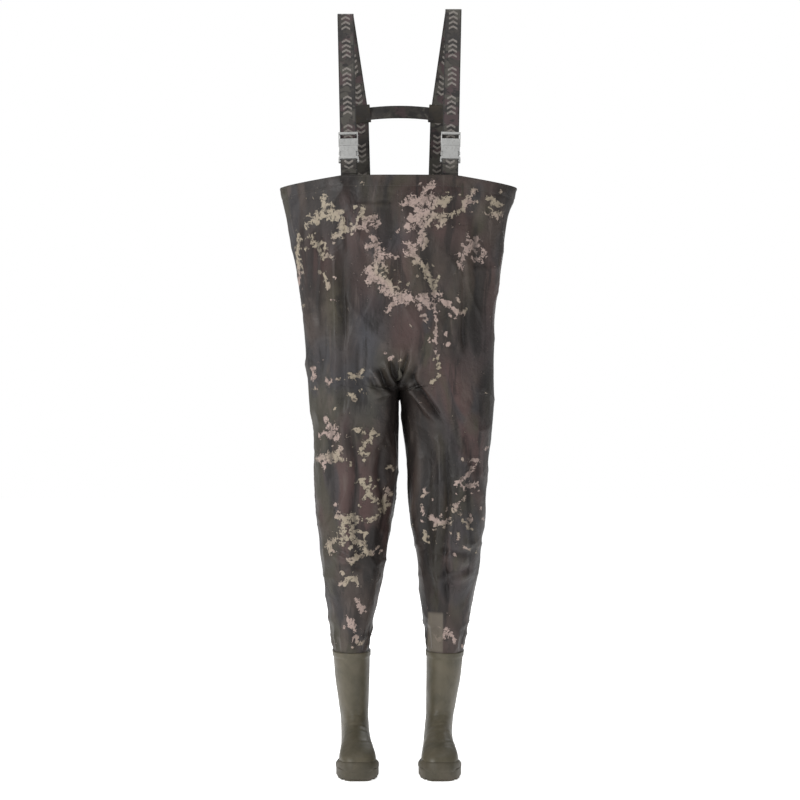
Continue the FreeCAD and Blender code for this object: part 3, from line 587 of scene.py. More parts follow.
def raise_hem(points):
    """Slides the upper rows so that the first one follows the sloping hem."""
    height = points[..., 2]
    edge = hem_height(points[:1])
    share = np.clip((height - HEM_ZONE) / (TOP - HEM_ZONE), 0, 1)
    points[..., 2] = np.where(height > HEM_ZONE, HEM_ZONE + share * (edge - HEM_ZONE), height)
    return points


def unit(vectors):
    return vectors / np.maximum(np.linalg.norm(vectors, axis=-1, keepdims=True), 1e-9)


def form_normals(points, side):
    """Outward normals; the two halves agree along the centre seam, and a leg agrees with itself."""
    along = np.gradient(points, axis=1)
    legs = row_heights() <= CROTCH
    ends = points[legs, 1] - points[legs, -2]
    along[legs, 0] = ends
    along[legs, -1] = ends
    normal = unit(np.cross(along, np.gradient(points, axis=0)) * SIDES[side])
    open_rows = ~legs
    for column in (0, -1):
        normal[open_rows, column, 0] = 0.0
    normal = unit(normal)
    outward = points[..., 1] - follow(MIDDLE_Y, row_heights())[:, None]
    if np.sum(normal[..., 1] * outward) < 0:
        normal = -normal
    return normal


def fold_depth(points, facing):
    """How far the named folds push each point in or out along its normal."""
    x, h = points[..., 0], points[..., 2]
    total = np.zeros(x.shape)
    for face, line, width, depth in FOLDS:
        wander = 5 * noise(points, (9, 9, 9), 2.0)
        away, side, along = distance_to_line(x + wander, h + wander, line)
        mask = step(0.05, 0.4, -facing if face == "front" else facing)
        taper = step(0, 0.3, along) * step(1, 0.7, along)
        valley = -1.5 * depth * np.exp(-((away / (0.8 * width)) ** 2))
        lip = 1.1 * depth * np.exp(-(((away - 1.9 * width) / (1.2 * width)) ** 2)) * (1 + 0.8 * side)
        total += mask * taper * (valley + lip)
    return total


def loose_cloth(points):
    """The cloth's own unevenness: long drapes, slack round the knees, and pleats above the boots."""
    x, y, h = points[..., 0], points[..., 1], points[..., 2]
    bib = step(900, 1000, h)
    leg = 1 - bib
    drape = noise(points, (13, 13, 1.9), 1.0)
    swell = noise(points, (6, 6, 3.5), 4.0)
    total = drape * (5.0 * bib + 5.2 * leg) + swell * (4.2 * bib + 3.4 * leg)
    total = total + noise(points, (30, 30, 3.2), 15.0) * 1.8
    slant = points + np.stack([0.5 * h, 0.3 * h, np.zeros_like(h)], axis=-1)
    lean = points + np.stack([-0.6 * h, 0.4 * h, np.zeros_like(h)], axis=-1)
    total += ridges(slant, (11, 11, 5), 5.0) * 3.2 - 1.0
    total += ridges(lean, (14, 14, 6), 8.0) * 2.6 - 0.9
    total += ridges(points, (30, 30, 12), 9.0, 2.0) * 1.3
    seat = bump(h, 885, 60) * step(120, 20, np.abs(x))
    total += seat * ridges(points, (26, 26, 12), 3.0, 2.0) * 4.0
    knee = bump(h, 500, 70)
    total += knee * ridges(points, (10, 10, 26), 6.0, 2.0) * 3.0
    slump = bump(h, 330, 30)
    total += slump * (ridges(points, (12, 12, 34), 7.0, 2.0) * 4.5 - 1.0)
    turn = np.arctan2(y - 6, np.abs(x) - 110)
    pleats = np.sin(turn * 15 + 4 * noise(points, (20, 20, 6), 12.0))
    gather = step(272, 288, h) * step(348, 300, h)
    total += gather * np.maximum(pleats, -0.2) * 2.6
    quiet = step(266, 276, h) * step(0, 26, hem_height(points) - h + 4)
    return total * quiet


def settle(points, normal):
    """The finished outer surface of one half."""
    facing = normal[..., 1]
    shift = fold_depth(points, facing) * step(4, 30, hem_height(points) - points[..., 2])
    shift = shift + loose_cloth(points)
    drop = hem_height(points) - points[..., 2]
    shift = shift + 0.5 * bump(drop, 4, 3) - 0.9 * bump(drop, HEM_BAND, 2.2)
    moved = points + normal * shift[..., None]
    legs = row_heights() <= CROTCH
    middle = (moved[legs, 0] + moved[legs, -1]) / 2
    moved[legs, 0] = middle
    moved[legs, -1] = middle
    moved[~legs, 0, 0] = 0.0
    moved[~legs, -1, 0] = 0.0
    inner_side = np.abs(moved[..., 0]) < 1.2
    keep_apart = inner_side & (points[..., 2] < CROTCH)
    moved[..., 0] = np.where(keep_apart, np.sign(points[..., 0]) * 1.2, moved[..., 0])
    return moved


# ---------------------------------------------------------------- the camouflage's masks

# Pale branches on the front: X, height, heading in degrees, length and half width. The rest grows at random.
BRANCHES = (
    (-215, 1268, 35, 90, 9), (-205, 1240, -80, 60, 8), (-172, 1292, -55, 70, 9), (-150, 1240, 5, 110, 8),
    (-84, 1300, -85, 50, 6), (-60, 1235, -100, 90, 11), (-72, 1165, -60, 70, 14), (-30, 1120, 12, 100, 14),
    (66, 1150, 95, 90, 9), (60, 1225, 120, 60, 9), (20, 1262, 20, 60, 11), (15, 1316, -5, 90, 13),
    (60, 1290, 5, 50, 11), (100, 1272, 50, 110, 6), (60, 1345, 20, 30, 8), (70, 1140, -70, 50, 9),
    (80, 1090, -93, 176, 4.5), (98, 1092, -40, 60, 6), (178, 1236, -110, 80, 8), (196, 1200, -130, 30, 7),
    (202, 1334, 10, 36, 7), (214, 1292, 0, 24, 9), (-236, 1250, -82, 160, 5), (-174, 1154, -80, 36, 6),
    (-10, 1190, 20, 20, 4), (46, 1090, 0, 4, 5), (48, 1058, 0, 4, 4), (-200, 936, -85, 28, 7),
    (-168, 912, -50, 16, 6), (-112, 922, 15, 30, 8), (-116, 880, -40, 30, 7), (-24, 958, 20, 20, 5),
    (-170, 822, -25, 44, 9), (-150, 800, -100, 24, 8), (-98, 796, 10, 50, 8), (-76, 770, -130, 40, 7),
    (-186, 728, 10, 50, 12), (-140, 744, -110, 40, 10), (-30, 706, 0, 4, 5), (-88, 680, -30, 56, 7),
    (-30, 656, -100, 60, 6), (-55, 592, -140, 26, 6), (-141, 594, -10, 50, 10), (-110, 570, -70, 50, 9),
    (-134, 570, -100, 44, 8), (-150, 540, -110, 40, 7), (-112, 490, 30, 60, 8), (-138, 436, -10, 50, 8),
    (-100, 400, -70, 34, 6), (-120, 356, -65, 40, 6), (-104, 310, -85, 30, 6), (163, 724, -5, 28, 5),
    (171, 706, -115, 60, 6), (150, 660, 30, 36, 6), (155, 640, -120, 50, 6), (163, 600, -85, 40, 6),
    (74, 592, -10, 46, 9), (52, 620, -70, 30, 5), (60, 558, -100, 22, 5), (152, 524, -30, 18, 5),
    (94, 300, 50, 36, 6), (120, 318, -70, 30, 6), (136, 556, -80, 8, 5), (56, 656, -60, 5, 5),
)

# Soft tone patches on the front: mask name, X, height, half width, half height, strength.
TONES = (
    ("maroon", -20, 1165, 60, 60, 0.5),
    ("maroon", 110, 880, 36, 60, 0.9),
    ("maroon", 150, 800, 40, 140, 0.35),
    ("maroon", -180, 1190, 40, 60, 0.45),
    ("maroon", -60, 1130, 60, 70, 0.35),
    ("maroon", 130, 480, 40, 120, 0.55),
    ("maroon", -90, 640, 60, 90, 0.3),
    ("maroon", 60, 1350, 70, 30, 0.4),
    ("slate", -75, 1000, 44, 80, 0.85),
    ("slate", -150, 980, 40, 90, 0.5),
    ("slate", -15, 1230, 40, 40, 0.6),
    ("slate", 190, 1010, 40, 80, 0.45),
    ("slate", -90, 860, 50, 60, 0.4),
    ("slate", 128, 740, 16, 80, 0.4),
    ("olive", -150, 1080, 26, 70, 0.7),
    ("olive", -10, 940, 40, 40, 0.6),
    ("olive", 40, 1180, 40, 40, 0.35),
    ("olive", 165, 1120, 30, 100, 0.35),
    ("olive", -30, 1160, 40, 30, 0.5),
    ("shadow", 76, 540, 34, 190, 0.75),
    ("shadow", 60, 780, 44, 80, 0.6),
    ("shadow", -10, 912, 34, 34, 0.8),
    ("shadow", 208, 900, 22, 120, 0.7),
    ("shadow", -34, 740, 24, 90, 0.6),
    ("shadow", 176, 1060, 26, 110, 0.4),
    ("shadow", -150, 1240, 30, 60, 0.25),
)

LABEL = (84, 320, 17, 46)


def grow(rng, x, height, heading, length, half_width):
    """One pale branch as strokes: a wandering limb with short twigs, so that no outline is anyone's print."""
    strokes = []
    half_width = 0.85 * half_width
    limb = [(x, height)]
    turn = math.radians(heading)
    pace = 11
    for _ in range(max(1, int(length / pace))):
        turn += rng.uniform(-0.75, 0.75) * min(1.0, (half_width / 6) ** 3)
        x += pace * math.cos(turn)
        height += pace * math.sin(turn)
        limb.append((x, height))
        if rng.random() < 0.6:
            aside = turn + rng.choice((-1.2, 1.2)) + rng.uniform(-0.4, 0.4)
            reach = rng.uniform(1.3, 3.2) * half_width
            tip = (x + reach * math.cos(aside), height + reach * math.sin(aside))
            strokes.append((half_width * rng.uniform(0.4, 0.8), ((x, height), tip)))
        turn += 0.3 * (math.radians(heading) - turn)
    strokes.append((half_width, tuple(limb)))
    for _ in range(int(length / 18) + 1):
        near = limb[int(rng.integers(len(limb)))]
        spot = (near[0] + rng.uniform(-30, 30), near[1] + rng.uniform(-30, 30))
        half = rng.uniform(1.8, 4.2)
        strokes.append((half, (spot, (spot[0] + rng.uniform(-6, 6), spot[1] + rng.uniform(-6, 6)))))
    return strokes


def front_strokes():
    rng = np.random.default_rng(23)
    strokes = []
    for branch in BRANCHES:
        strokes += grow(rng, *branch)
    return strokes


def round_strokes():
    """The same kind of branches all over the sides and back."""
    rng = np.random.default_rng(5)
    strokes = []
    for _ in range(66):
        height = rng.uniform(290, 1340)
        reach = np.interp(height, (300, 600, 900, 1350), (150, 190, 215, 265))
        strokes += grow(rng, rng.uniform(-reach, reach), height, rng.uniform(0, 360),
                        rng.uniform(15, 100), rng.uniform(5, 12))
    return strokes


def stroke_field(x, h, strokes):
    """1 in the middle of a stroke, a half at its edge and 0 at twice its half width."""
    field = np.zeros(x.shape)
    for half_width, line in strokes:
        xs = [p[0] for p in line]
        hs = [p[1] for p in line]
        room = 2.2 * half_width
        near = (x > min(xs) - room) & (x < max(xs) + room) & (h > min(hs) - room) & (h < max(hs) + room)
        if near.any():
            away = distance_to_line(x[near], h[near], line)[0]
            field[near] = np.maximum(field[near], np.clip(1 - 0.5 * away / half_width, 0, 1))
    return field


def paint_masks(obj, points, facing):
    """Writes the camouflage's masks, the painted shade along the folds and the rest position on a garment
    mesh.
    """
    x, h = points[:, 0], points[:, 2]
    front = step(-0.12, 0.12, -facing)
    bark = stroke_field(x, h, front_strokes()) * front
    around = stroke_field(x, h, round_strokes()) * step(0.15, 0.4, facing)
    set_float(obj, "bark", np.maximum(bark, around))
    masks = {name: np.zeros(len(points)) for name in ("maroon", "slate", "olive", "shadow")}
    for name, mx, mh, wide, tall, strength in TONES:
        blob = strength * np.exp(-(((x - mx) / wide) ** 2) - ((h - mh) / tall) ** 2) * front
        masks[name] = np.maximum(masks[name], blob)
    for shift, name in enumerate(("maroon", "slate", "olive", "shadow")):
        loose = step(0.25, 0.55, noise(points, (9, 9, 4), 20.0 + shift)) * 0.6 * (1 - front)
        set_float(obj, name, np.maximum(masks[name], loose))
    # Painted shade along the folds: how deep each point lies in a fold's valley, for darkening the colour
    # there.
    set_float(obj, "painted_fold_shade", np.clip(-fold_depth(points, facing) / 5, 0, 1))
    lx, lh, wide, tall = LABEL
    inside = step(wide + 2, wide - 1, np.abs(x - lx)) * step(tall + 2, tall - 1, np.abs(h - lh))
    set_float(obj, "label", 0.85 * inside * front)
    set_vector(obj, "rest", to_frame(points))


# ---------------------------------------------------------------- garment pieces


def grid_faces(index, flip):
    """Quads between neighbouring rows and columns of an index grid."""
    a, b = index[:-1, :-1], index[:-1, 1:]
    c, d = index[1:, 1:], index[1:, :-1]
    quads = np.stack([a, d, c, b] if not flip else [a, b, c, d], axis=-1)
    return quads.reshape(-1, 4)


def cloth_mesh(name, side, outer, normal, rows, closed):
    """Outer and inner surfaces of a run of rows, with rims where an edge shows."""
    part = slice(rows[0], rows[1] + 1)
    skin = outer[part]
    facing = normal[part]
    lining = skin - facing * CLOTH
    count = skin.shape[0] * skin.shape[1]
    index = np.arange(count).reshape(skin.shape[:2])
    shut = closed[part]
    index[shut, -1] = index[shut, 0]
    flip = side == "right"
    faces = [grid_faces(index, flip), grid_faces(index + count, not flip)]
    rim = []
    if rows[0] == 0:
        rim.append((index[0], index[0] + count))
    if rows[1] == outer.shape[0] - 1:
        rim.append((index[-1] + count, index[-1]))
    for a, b in rim:
        quads = np.stack([a[:-1], a[1:], b[1:], b[:-1]], axis=-1)
        faces.append(quads[:, ::-1] if flip else quads)
    open_rows = np.where(~shut)[0]
    if len(open_rows):
        last = open_rows[-1] + 1 if open_rows[-1] + 1 < index.shape[0] else open_rows[-1]
        for column in (0, -1):
            edge = index[: last + 1, column]
            quads = np.stack([edge[:-1], edge[1:], edge[1:] + count, edge[:-1] + count], axis=-1)
            faces.append(quads if (column == 0) == flip else quads[:, ::-1])
    points = np.concatenate([skin.reshape(-1, 3), lining.reshape(-1, 3)])
    facings = np.concatenate([facing.reshape(-1, 3), -facing.reshape(-1, 3)])
    faces = np.concatenate(faces)
    used = np.unique(faces)
    renumber = np.full(len(points), -1)
    renumber[used] = np.arange(len(used))
    obj = new_object(name, to_frame(points[used]), renumber[faces])
    paint_masks(obj, points[used], np.where(used < count, 1, -1) * facings[used][:, 1])
    set_material(obj, CAMO)
    obj.data.materials.append(INSIDE)
    slots = np.zeros(len(obj.data.polygons), np.int32)
    first = len(grid_faces(index, flip))
    slots[first: 2 * first] = 1
    obj.data.polygons.foreach_set("material_index", slots)
    obj.data.normals_split_custom_set_from_vertices(facings[used].tolist())
    return obj


def grid_patch(name, skin, normal, rows, columns, inset, thick, material):
    """A thin slab that lies on the inside of the cloth, such as a tape, the hem's turn-in or the pocket."""
    part = (slice(rows[0], rows[1] + 1), slice(columns[0], columns[1] + 1))
    near = skin[part] - normal[part] * inset
    far = near - normal[part] * thick
    return slab(name, near, far, material)


def slab(name, near, far, material):
    """A closed thin solid between two matching grids of points."""
    count = near.shape[0] * near.shape[1]
    index = np.arange(count).reshape(near.shape[:2])
    faces = [grid_faces(index, False), grid_faces(index + count, True)]
    border = np.concatenate([index[0, :-1], index[:-1, -1], index[-1, :0:-1], index[:0:-1, 0]])
    after = np.roll(border, -1)
    faces.append(np.stack([border, after, after + count, border + count], axis=-1))
    points = np.concatenate([near.reshape(-1, 3), far.reshape(-1, 3)])
    obj = new_object(name, to_frame(points), np.concatenate(faces))
    set_vector(obj, "rest", to_frame(points))
    tidy_normals(obj)
    set_material(obj, material)
    return obj


def tidy_normals(obj):
    mesh = bmesh.new()
    mesh.from_mesh(obj.data)
    bmesh.ops.recalc_face_normals(mesh, faces=mesh.faces)
    mesh.to_mesh(obj.data)
    mesh.free()


def row_at(height):
    return int(np.argmin(np.abs(row_heights() - height)))


def garment_half(side):
    """The bib half and leg of one side, in three pieces that meet where a body changes."""
    form = half_form(side)
    skin = settle(form, form_normals(form, side))
    normal = form_normals(skin, side)
    closed = row_heights() <= CROTCH
    last = len(row_heights()) - 1
    cuts = [0, row_at(KNEE_CUT), row_at(CUFF_CUT), last]
    upper = cloth_mesh(f"cloth_upper_{side}", side, skin, normal, (cuts[0], cuts[1]), closed)
    lower = cloth_mesh(f"cloth_knee_{side}", side, skin, normal, (cuts[1], cuts[2]), closed)
    cuff = cloth_mesh(f"cloth_cuff_{side}", side, skin, normal, (cuts[2], cuts[3]), closed)
    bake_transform(upper)
    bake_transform(lower)
    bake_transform(cuff)
    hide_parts(f"bib_front_{side}", f"bib_back_{side}", f"hip_fold_{side}", f"thigh_front_{side}",
                f"thigh_back_{side}", f"thigh_seam_tapes_{side}", "crotch_gusset")
    shin_nodes = (f"shin_front_{side}", f"shin_back_{side}", f"shin_seam_tapes_{side}")
    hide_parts(f"knee_fold_{side}", *shin_nodes)
    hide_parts(f"cuff_fold_{side}")
    return skin, normal


def column_line(skin, normal, drop):
    """Points along the cloth at a set distance below the hem, a little proud of it."""
    depth = hem_height(skin) - skin[..., 2]
    line = []
    for column in range(skin.shape[1]):
        share = [np.interp(drop, depth[:60, column], skin[:60, column, axis]) for axis in range(3)]
        row = int(np.argmin(np.abs(depth[:60, column] - drop)))
        line.append((np.array(share) + 0.15 * normal[row, column], normal[row, column]))
    return np.array([p for p, _ in line]), np.array([n for _, n in line])


STITCH = {"pitch": 4.2, "length": 2.9, "radius": 0.42}


def stitches(name, runs, body):
    """Thread stitches along polylines; each run is (points, normals) in garment millimetres."""
    vertices, faces = [], []
    for points, normals in runs:
        points, normals = np.array(points, float), np.array(normals, float)
        run = np.concatenate([[0], np.cumsum(np.linalg.norm(np.diff(points, axis=0), axis=1))])
        for start in np.arange(1.0, run[-1] - STITCH["length"], STITCH["pitch"]):
            at = start + np.array([0, 0.25, 0.75, 1]) * STITCH["length"]
            spine = np.stack([np.interp(at, run, points[:, k]) for k in range(3)], axis=1)
            out = unit(np.array([np.interp(start, run, normals[:, k]) for k in range(3)]))
            side = unit(np.cross(spine[-1] - spine[0], out))
            first = len(vertices)
            for share, lift, centre in zip((0.35, 1, 1, 0.35), (-0.2, 0.25, 0.25, -0.2), spine):
                for turn in range(4):
                    angle = math.pi / 2 * turn + math.pi / 4
                    ring = side * math.cos(angle) + out * math.sin(angle)
                    vertices.append(centre + out * lift + ring * STITCH["radius"] * share)
            for ring in range(3):
                for k in range(4):
                    a, b = first + 4 * ring + k, first + 4 * ring + (k + 1) % 4
                    faces.append((a, b, b + 4, a + 4))
            faces.append((first + 3, first + 2, first + 1, first))
            faces.append((first + 12, first + 13, first + 14, first + 15))
    obj = new_object(name, to_frame(vertices), faces)
    tidy_normals(obj)
    set_material(obj, THREAD)
    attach(obj, body)
    return obj


def trim(piece, slot, *nodes):
    """Fixes a piece of the lining to the bib, in place of its CAD sub-parts."""
    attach(piece, "bib")
    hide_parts(*nodes)


def inside_trims():
    """What is welded or turned in on the inside: hem, seam tapes and the chest pocket."""
    middle = COLUMNS // 2
    seat = row_at(CROTCH + 100)
    for side, (skin, normal) in halves.items():
        hem_rows = int(np.argmax(TOP - row_heights() > HEM_BAND + 2))
        rows = (0, hem_rows)
        hem = grid_patch(f"hem_turn_{side}", skin, normal, rows, (0, COLUMNS), CLOTH + 0.1, 0.8, CAMO)
        paint_masks(hem, garment_points(hem), np.zeros(len(hem.data.vertices)))
        trim(hem, "camo_fabric", "bib_hem_front", "bib_hem_back")
        for name, low_row, columns, node in (
            ("centre_front", seat, (0, 3), "centre_front"),
            ("centre_back", seat, (COLUMNS - 3, COLUMNS), "centre_back"),
            ("side", row_at(905), (middle - 2, middle + 2), f"side_{side}"),
        ):
            rows = (hem_rows + 1, low_row)
            tape = grid_patch(f"tape_{name}_{side}", skin, normal, rows, columns, CLOTH + 0.1, 0.5, TAPE)
            trim(tape, "seam_tape", f"seam_tape_{node}")
    skin, normal = halves["right"]
    rows = (row_at(1325), row_at(1170))
    pocket = grid_patch("pocket_sheet", skin, normal, rows, (4, 28), CLOTH + 0.9, 0.8, INSIDE)
    trim(pocket, "camo_fabric", "inner_pocket")


def garment_points(obj):
    """A mesh's vertices back in garment millimetres."""
    count = len(obj.data.vertices)
    points = np.empty(count * 3)
    obj.data.vertices.foreach_get("co", points)
    points = points.reshape(-1, 3)
    points[:, 2] -= SOLE_Z
    return points / MM


def outer_stitching():
    """The hem's two rows of stitches and the ones beside the centre seam."""
    runs = []
    for skin, normal in halves.values():
        for drop in (HEM_BAND - 2, 3.5):
            runs.append(column_line(skin, normal, drop))
        rows = slice(8, row_at(CROTCH + 110))
        for column in (1, COLUMNS - 1):
            runs.append((skin[rows, column] + 0.15 * normal[rows, column], normal[rows, column]))
    stitches("cloth_stitches", runs, "bib")


# ---------------------------------------------------------------- webbing

WEB_WIDTH = 38
WEB_THICK = 1.8
FOLD_RADIUS = 4.9
HANG_HEIGHT = 1776.5
STRAP_RISE = 5.5
BUCKLE_LIFT = 31
FRONT_LOW = (116, -113, 1382)
BACK_KINK = (93, 69, 1545)
BACK_LOW = (88, 131, 1350)
BACK_END = 1300
BACK_YAW = 9.7
TAB_END = 1338
TIE_HALF_HEIGHT = 15
TIE_RISE = 5


def strap_top(sign):
    return np.array([sign * 127, 0, HANG_HEIGHT + sign * STRAP_RISE - FOLD_RADIUS])


def buckle_axes(sign):
    """The buckle's origin and its three directions: across, back, and up along the strap."""
    low = np.array([sign * FRONT_LOW[0], FRONT_LOW[1], FRONT_LOW[2]], float)
    high = strap_top(sign) - np.array([0, FOLD_RADIUS + 3.5, 0])
    along = unit(high - low)
    across = unit(np.array([1, 0, 0]) - along * along[0])
    return low + BUCKLE_LIFT * along, across, np.cross(along, across), along


def in_buckle(sign, x, y, z):
    origin, across, back, along = buckle_axes(sign)
    return origin + x * across + y * back + z * along


def resample(points, spacing, yaws):
    points = np.array(points, float)
    run = np.concatenate([[0], np.cumsum(np.linalg.norm(np.diff(points, axis=0), axis=1))])
    at = np.unique(np.concatenate([np.linspace(0, run[-1], int(run[-1] / spacing) + 2), run]))
    at = at[np.concatenate([[True], np.diff(at) > 0.3])]
    path = np.stack([np.interp(at, run, points[:, k]) for k in range(3)], axis=1)
    return path, at, np.interp(at, run, yaws)


def strip_profile(flat):
    """Once round a strip's section: places across it from -1 to 1, and heights above its middle."""
    right = (*flat, 0.9, 0.965, 1)
    share = np.array([-x for x in right[::-1]] + [0, *right])
    half = np.ones(len(share))
    half[[0, -1]] = 0.35
    half[[1, -2]] = 0.85
    half = half * WEB_THICK / 2
    return np.concatenate([share, share[::-1]]), np.concatenate([half, -half[::-1]])


def woven_strip(name, node, rings, loop, run, motif):
    """Webbing from rings of points, each of which knows how far along and across the strip it is."""
    count = len(loop)
    index = np.arange(rings.shape[0] * count).reshape(-1, count)
    index = np.concatenate([index, index[:, :1]], axis=1)
    faces = [tuple(f) for f in grid_faces(index, False)]
    faces += [tuple(index[0, :-1]), tuple(index[-1, -2::-1])]
    obj = new_object(name, to_frame(rings.reshape(-1, 3)), faces)
    tidy_normals(obj)
    set_float(obj, "along", np.repeat(run * MM, count))
    set_float(obj, "across", np.tile(loop, rings.shape[0]))
    set_float(obj, "motif", np.full(rings.shape[0] * count, motif))
    set_vector(obj, "rest", obj_rest(obj))
    set_material(obj, WEBBING)
    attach(obj, "bib")
    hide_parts(node)


def ribbon(name, node, points, yaws=None, spacing=5):
    """Webbing along a path, as a flat strip with soft edges."""
    yaws = yaws or [0] * len(points)
    path, at, turned = resample(points, spacing, yaws)
    along = unit(np.gradient(path, axis=0))
    turned = np.radians(turned)
    across = np.stack([np.cos(turned), -np.sin(turned), np.zeros_like(turned)], axis=1)
    across = unit(across - along * np.sum(across * along, axis=1, keepdims=True))
    through = unit(np.cross(along, across))
    loop, lift = strip_profile((0.3, 0.6))
    rings = path[:, None] + across[:, None] * (loop * WEB_WIDTH / 2)[None, :, None]
    rings = rings + through[:, None] * lift[None, :, None]
    woven_strip(name, node, rings, loop, at, 1.0)


def obj_rest(obj):
    points = np.empty(len(obj.data.vertices) * 3)
    obj.data.vertices.foreach_get("co", points)
    return points.reshape(-1, 3)


def shoulder_strap(side):
    """Up the front from the buckle, over the fold, and down the back to its sewn end."""
    sign = SIDES[side]
    top = strap_top(sign)
    fold = []
    for turn in np.radians(np.arange(0, 181, 12)):
        fold.append(top + np.array([0, -FOLD_RADIUS * math.cos(turn), FOLD_RADIUS * math.sin(turn)]))
    foot = in_buckle(sign, 0, 3.5, 52)
    kink = np.array([sign * BACK_KINK[0], BACK_KINK[1], BACK_KINK[2]])
    hem = np.array([sign * BACK_LOW[0], BACK_LOW[1], BACK_LOW[2]])
    end = np.array([hem[0], hem[1], BACK_END])
    yaws = [0] * (len(fold) + 2) + [sign * BACK_YAW] * 2
    ribbon(f"strap_{side}", f"shoulder_strap_{side}", [foot] + fold + [kink, hem, end], yaws)


def front_tab(side):
    """The short webbing that is sewn inside the bib and loops round the receiver's bar."""
    sign = SIDES[side]
    behind, ahead, inner = 6.2, -6.2, 4.2
    profile = (
        (behind, 2 - BUCKLE_LIFT), (behind, 3), (behind - 0.6, 4.6), (behind - 1.8, 5.5), (ahead + 1.8, 5.5),
        (ahead + 0.6, 4.6), (ahead, 3), (ahead, -1.5), (ahead + 1.5, -4), (inner, -12),
        (inner, 5 - BUCKLE_LIFT),
    )
    points = [in_buckle(sign, 0, y, z) for y, z in profile]
    hem = np.array([points[0][0], FRONT_LOW[1] + 1, points[0][2] - 9])
    end = np.array([hem[0], hem[1], TAB_END])
    ribbon(f"tab_{side}", f"front_tab_{side}", [end, hem] + points, spacing=3)


def tie_strap():
    """The cross strap between the two sleeves, gently arched."""
    reach = BACK_KINK[0] - 14
    xs = np.linspace(-reach, reach, 25)
    arch = BACK_KINK[2] + TIE_RISE * (1 - (xs / reach) ** 2)
    path = np.stack([xs, np.full(xs.shape, float(BACK_KINK[1])), arch], axis=1)
    loop, lift = strip_profile((0.45,))
    rings = path[:, None] + np.stack([0 * loop, lift, loop * TIE_HALF_HEIGHT], axis=1)[None]
    woven_strip("tie_strap", "cross_strap", rings, loop, xs + reach, 0.0)


# ---------------------------------------------------------------- moulded and sewn parts from the CAD


def dressed(node, material, edge, body):
    """A CAD sub-part with softened edges and a real material, in place of the plain one."""
    mesh = bmesh.new()
    mesh.from_mesh(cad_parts[node].data)
    bmesh.ops.remove_doubles(mesh, verts=mesh.verts, dist=2e-6)
    bmesh.ops.dissolve_limit(mesh, angle_limit=math.radians(0.5), verts=mesh.verts, edges=mesh.edges)
    data = bpy.data.meshes.new(f"{node}_part")
    mesh.to_mesh(data)
    mesh.free()
    data.polygons.foreach_set("use_smooth", [True] * len(data.polygons))
    obj = bpy.data.objects.new(f"{node}_part", data)
    bpy.context.scene.collection.objects.link(obj)
    bevel = obj.modifiers.new("edges", "BEVEL")
    bevel.width = edge * MM
    bevel.segments = 3
    bevel.limit_method = "ANGLE"
    bevel.angle_limit = math.radians(28)
    bevel.harden_normals = True
    set_material(obj, material)
    set_vector(obj, "rest", obj_rest(obj))
    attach(obj, body)
    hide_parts(node)


def buckle(side):
    for node, edge, body in (
        (f"buckle_receiver_{side}", 1.0, "bib"),
        (f"clip_body_{side}", 0.9, f"clip_{side}"),
        (f"clip_prong_inner_{side}", 0.5, f"prong_inner_{side}"),
        (f"clip_prong_outer_{side}", 0.5, f"prong_outer_{side}"),
    ):
        dressed(node, PLASTIC, edge, body)


def sewn_blocks(side):
    """The strap's stitched sleeve and the two reinforcing patches."""
    for node, edge in (
        (f"cross_strap_sleeve_{side}", 2.2),
        (f"front_anchor_patch_{side}", 0.5),
        (f"back_anchor_patch_{side}", 0.5),
    ):
        dressed(node, PATCH, edge, "bib")


# ---------------------------------------------------------------- boots

# Each boot's place across, toe-out angle in degrees, and how far its shaft leans outwards at the top.
BOOT_STANCE = {"left": (91.4, 1, 17), "right": (100.8, -3, 9.4)}
BOOT_Y = -57.5
WALL = 3

# Slices of the boot from the shaft's rim round to the toe: the front point and the back point of each as
# (Y, Z) with the toe at -Y, then its half width and its share of the shaft's sideways lean.
BOOT_SLICES = (
    ((-4, 271), (128, 271), 44, 1.0),
    ((-2, 240), (127, 238), 42.5, 0.9),
    ((0, 205), (125, 200), 40.5, 0.78),
    ((3, 175), (124, 160), 37.5, 0.58),
    ((4, 150), (126, 122), 34.8, 0.42),
    ((4, 134), (131, 96), 33, 0.3),
    ((-2, 120), (139, 58), 33, 0.15),
    ((-14, 109), (138, 20), 33.5, 0.05),
    ((-36, 98), (70, 2), 35.5, 0.0),
    ((-62, 87), (6, 2), 39, 0.0),
    ((-90, 76), (-50, 2), 42, 0.0),
    ((-114, 66), (-92, 4), 40, 0.0),
    ((-130, 57), (-118, 8), 33, 0.0),
    ((-139, 47), (-134, 14), 22, 0.0),
    ((-142, 36), (-141, 22), 8, 0.0),
)
SOLE_TOP = 21
SOLE_HALF_LENGTH = 147.5
SOLE_HALF_WIDTHS = (49, 34.5, 34.5)
OUTLINE_STEPS = 12
INSTEP_CREASES = ((-16, 105, 0.7), (-34, 95, 0.5), (4, 124, 0.8), (-80, 78, 0.5))


def place_boot(points, side):
    """Boot points in its own frame, set down in the garment's."""
    place, toe_out, _ = BOOT_STANCE[side]
    yaw = math.radians(toe_out)
    x = place + points[..., 0] * math.cos(yaw) - points[..., 1] * math.sin(yaw)
    y = BOOT_Y + points[..., 0] * math.sin(yaw) + points[..., 1] * math.cos(yaw)
    return np.stack([SIDES[side] * x, y, points[..., 2]], axis=-1)


def smooth_rows(values, count):
    """Catmull-Rom rows through the given ones."""
    values = np.array(values, float)
    padded = np.concatenate([[2 * values[0] - values[1]], values, [2 * values[-1] - values[-2]]])
    rows = []
    for at in np.linspace(0, len(values) - 1, count):
        k = min(int(at), len(values) - 2)
        t = at - k
        p0, p1, p2, p3 = padded[k: k + 4]
        rows.append(0.5 * (2 * p1 + (p2 - p0) * t + (2 * p0 - 5 * p1 + 4 * p2 - p3) * t * t
                           + (3 * p1 - p0 - 3 * p2 + p3) * t ** 3))
    return np.array(rows)


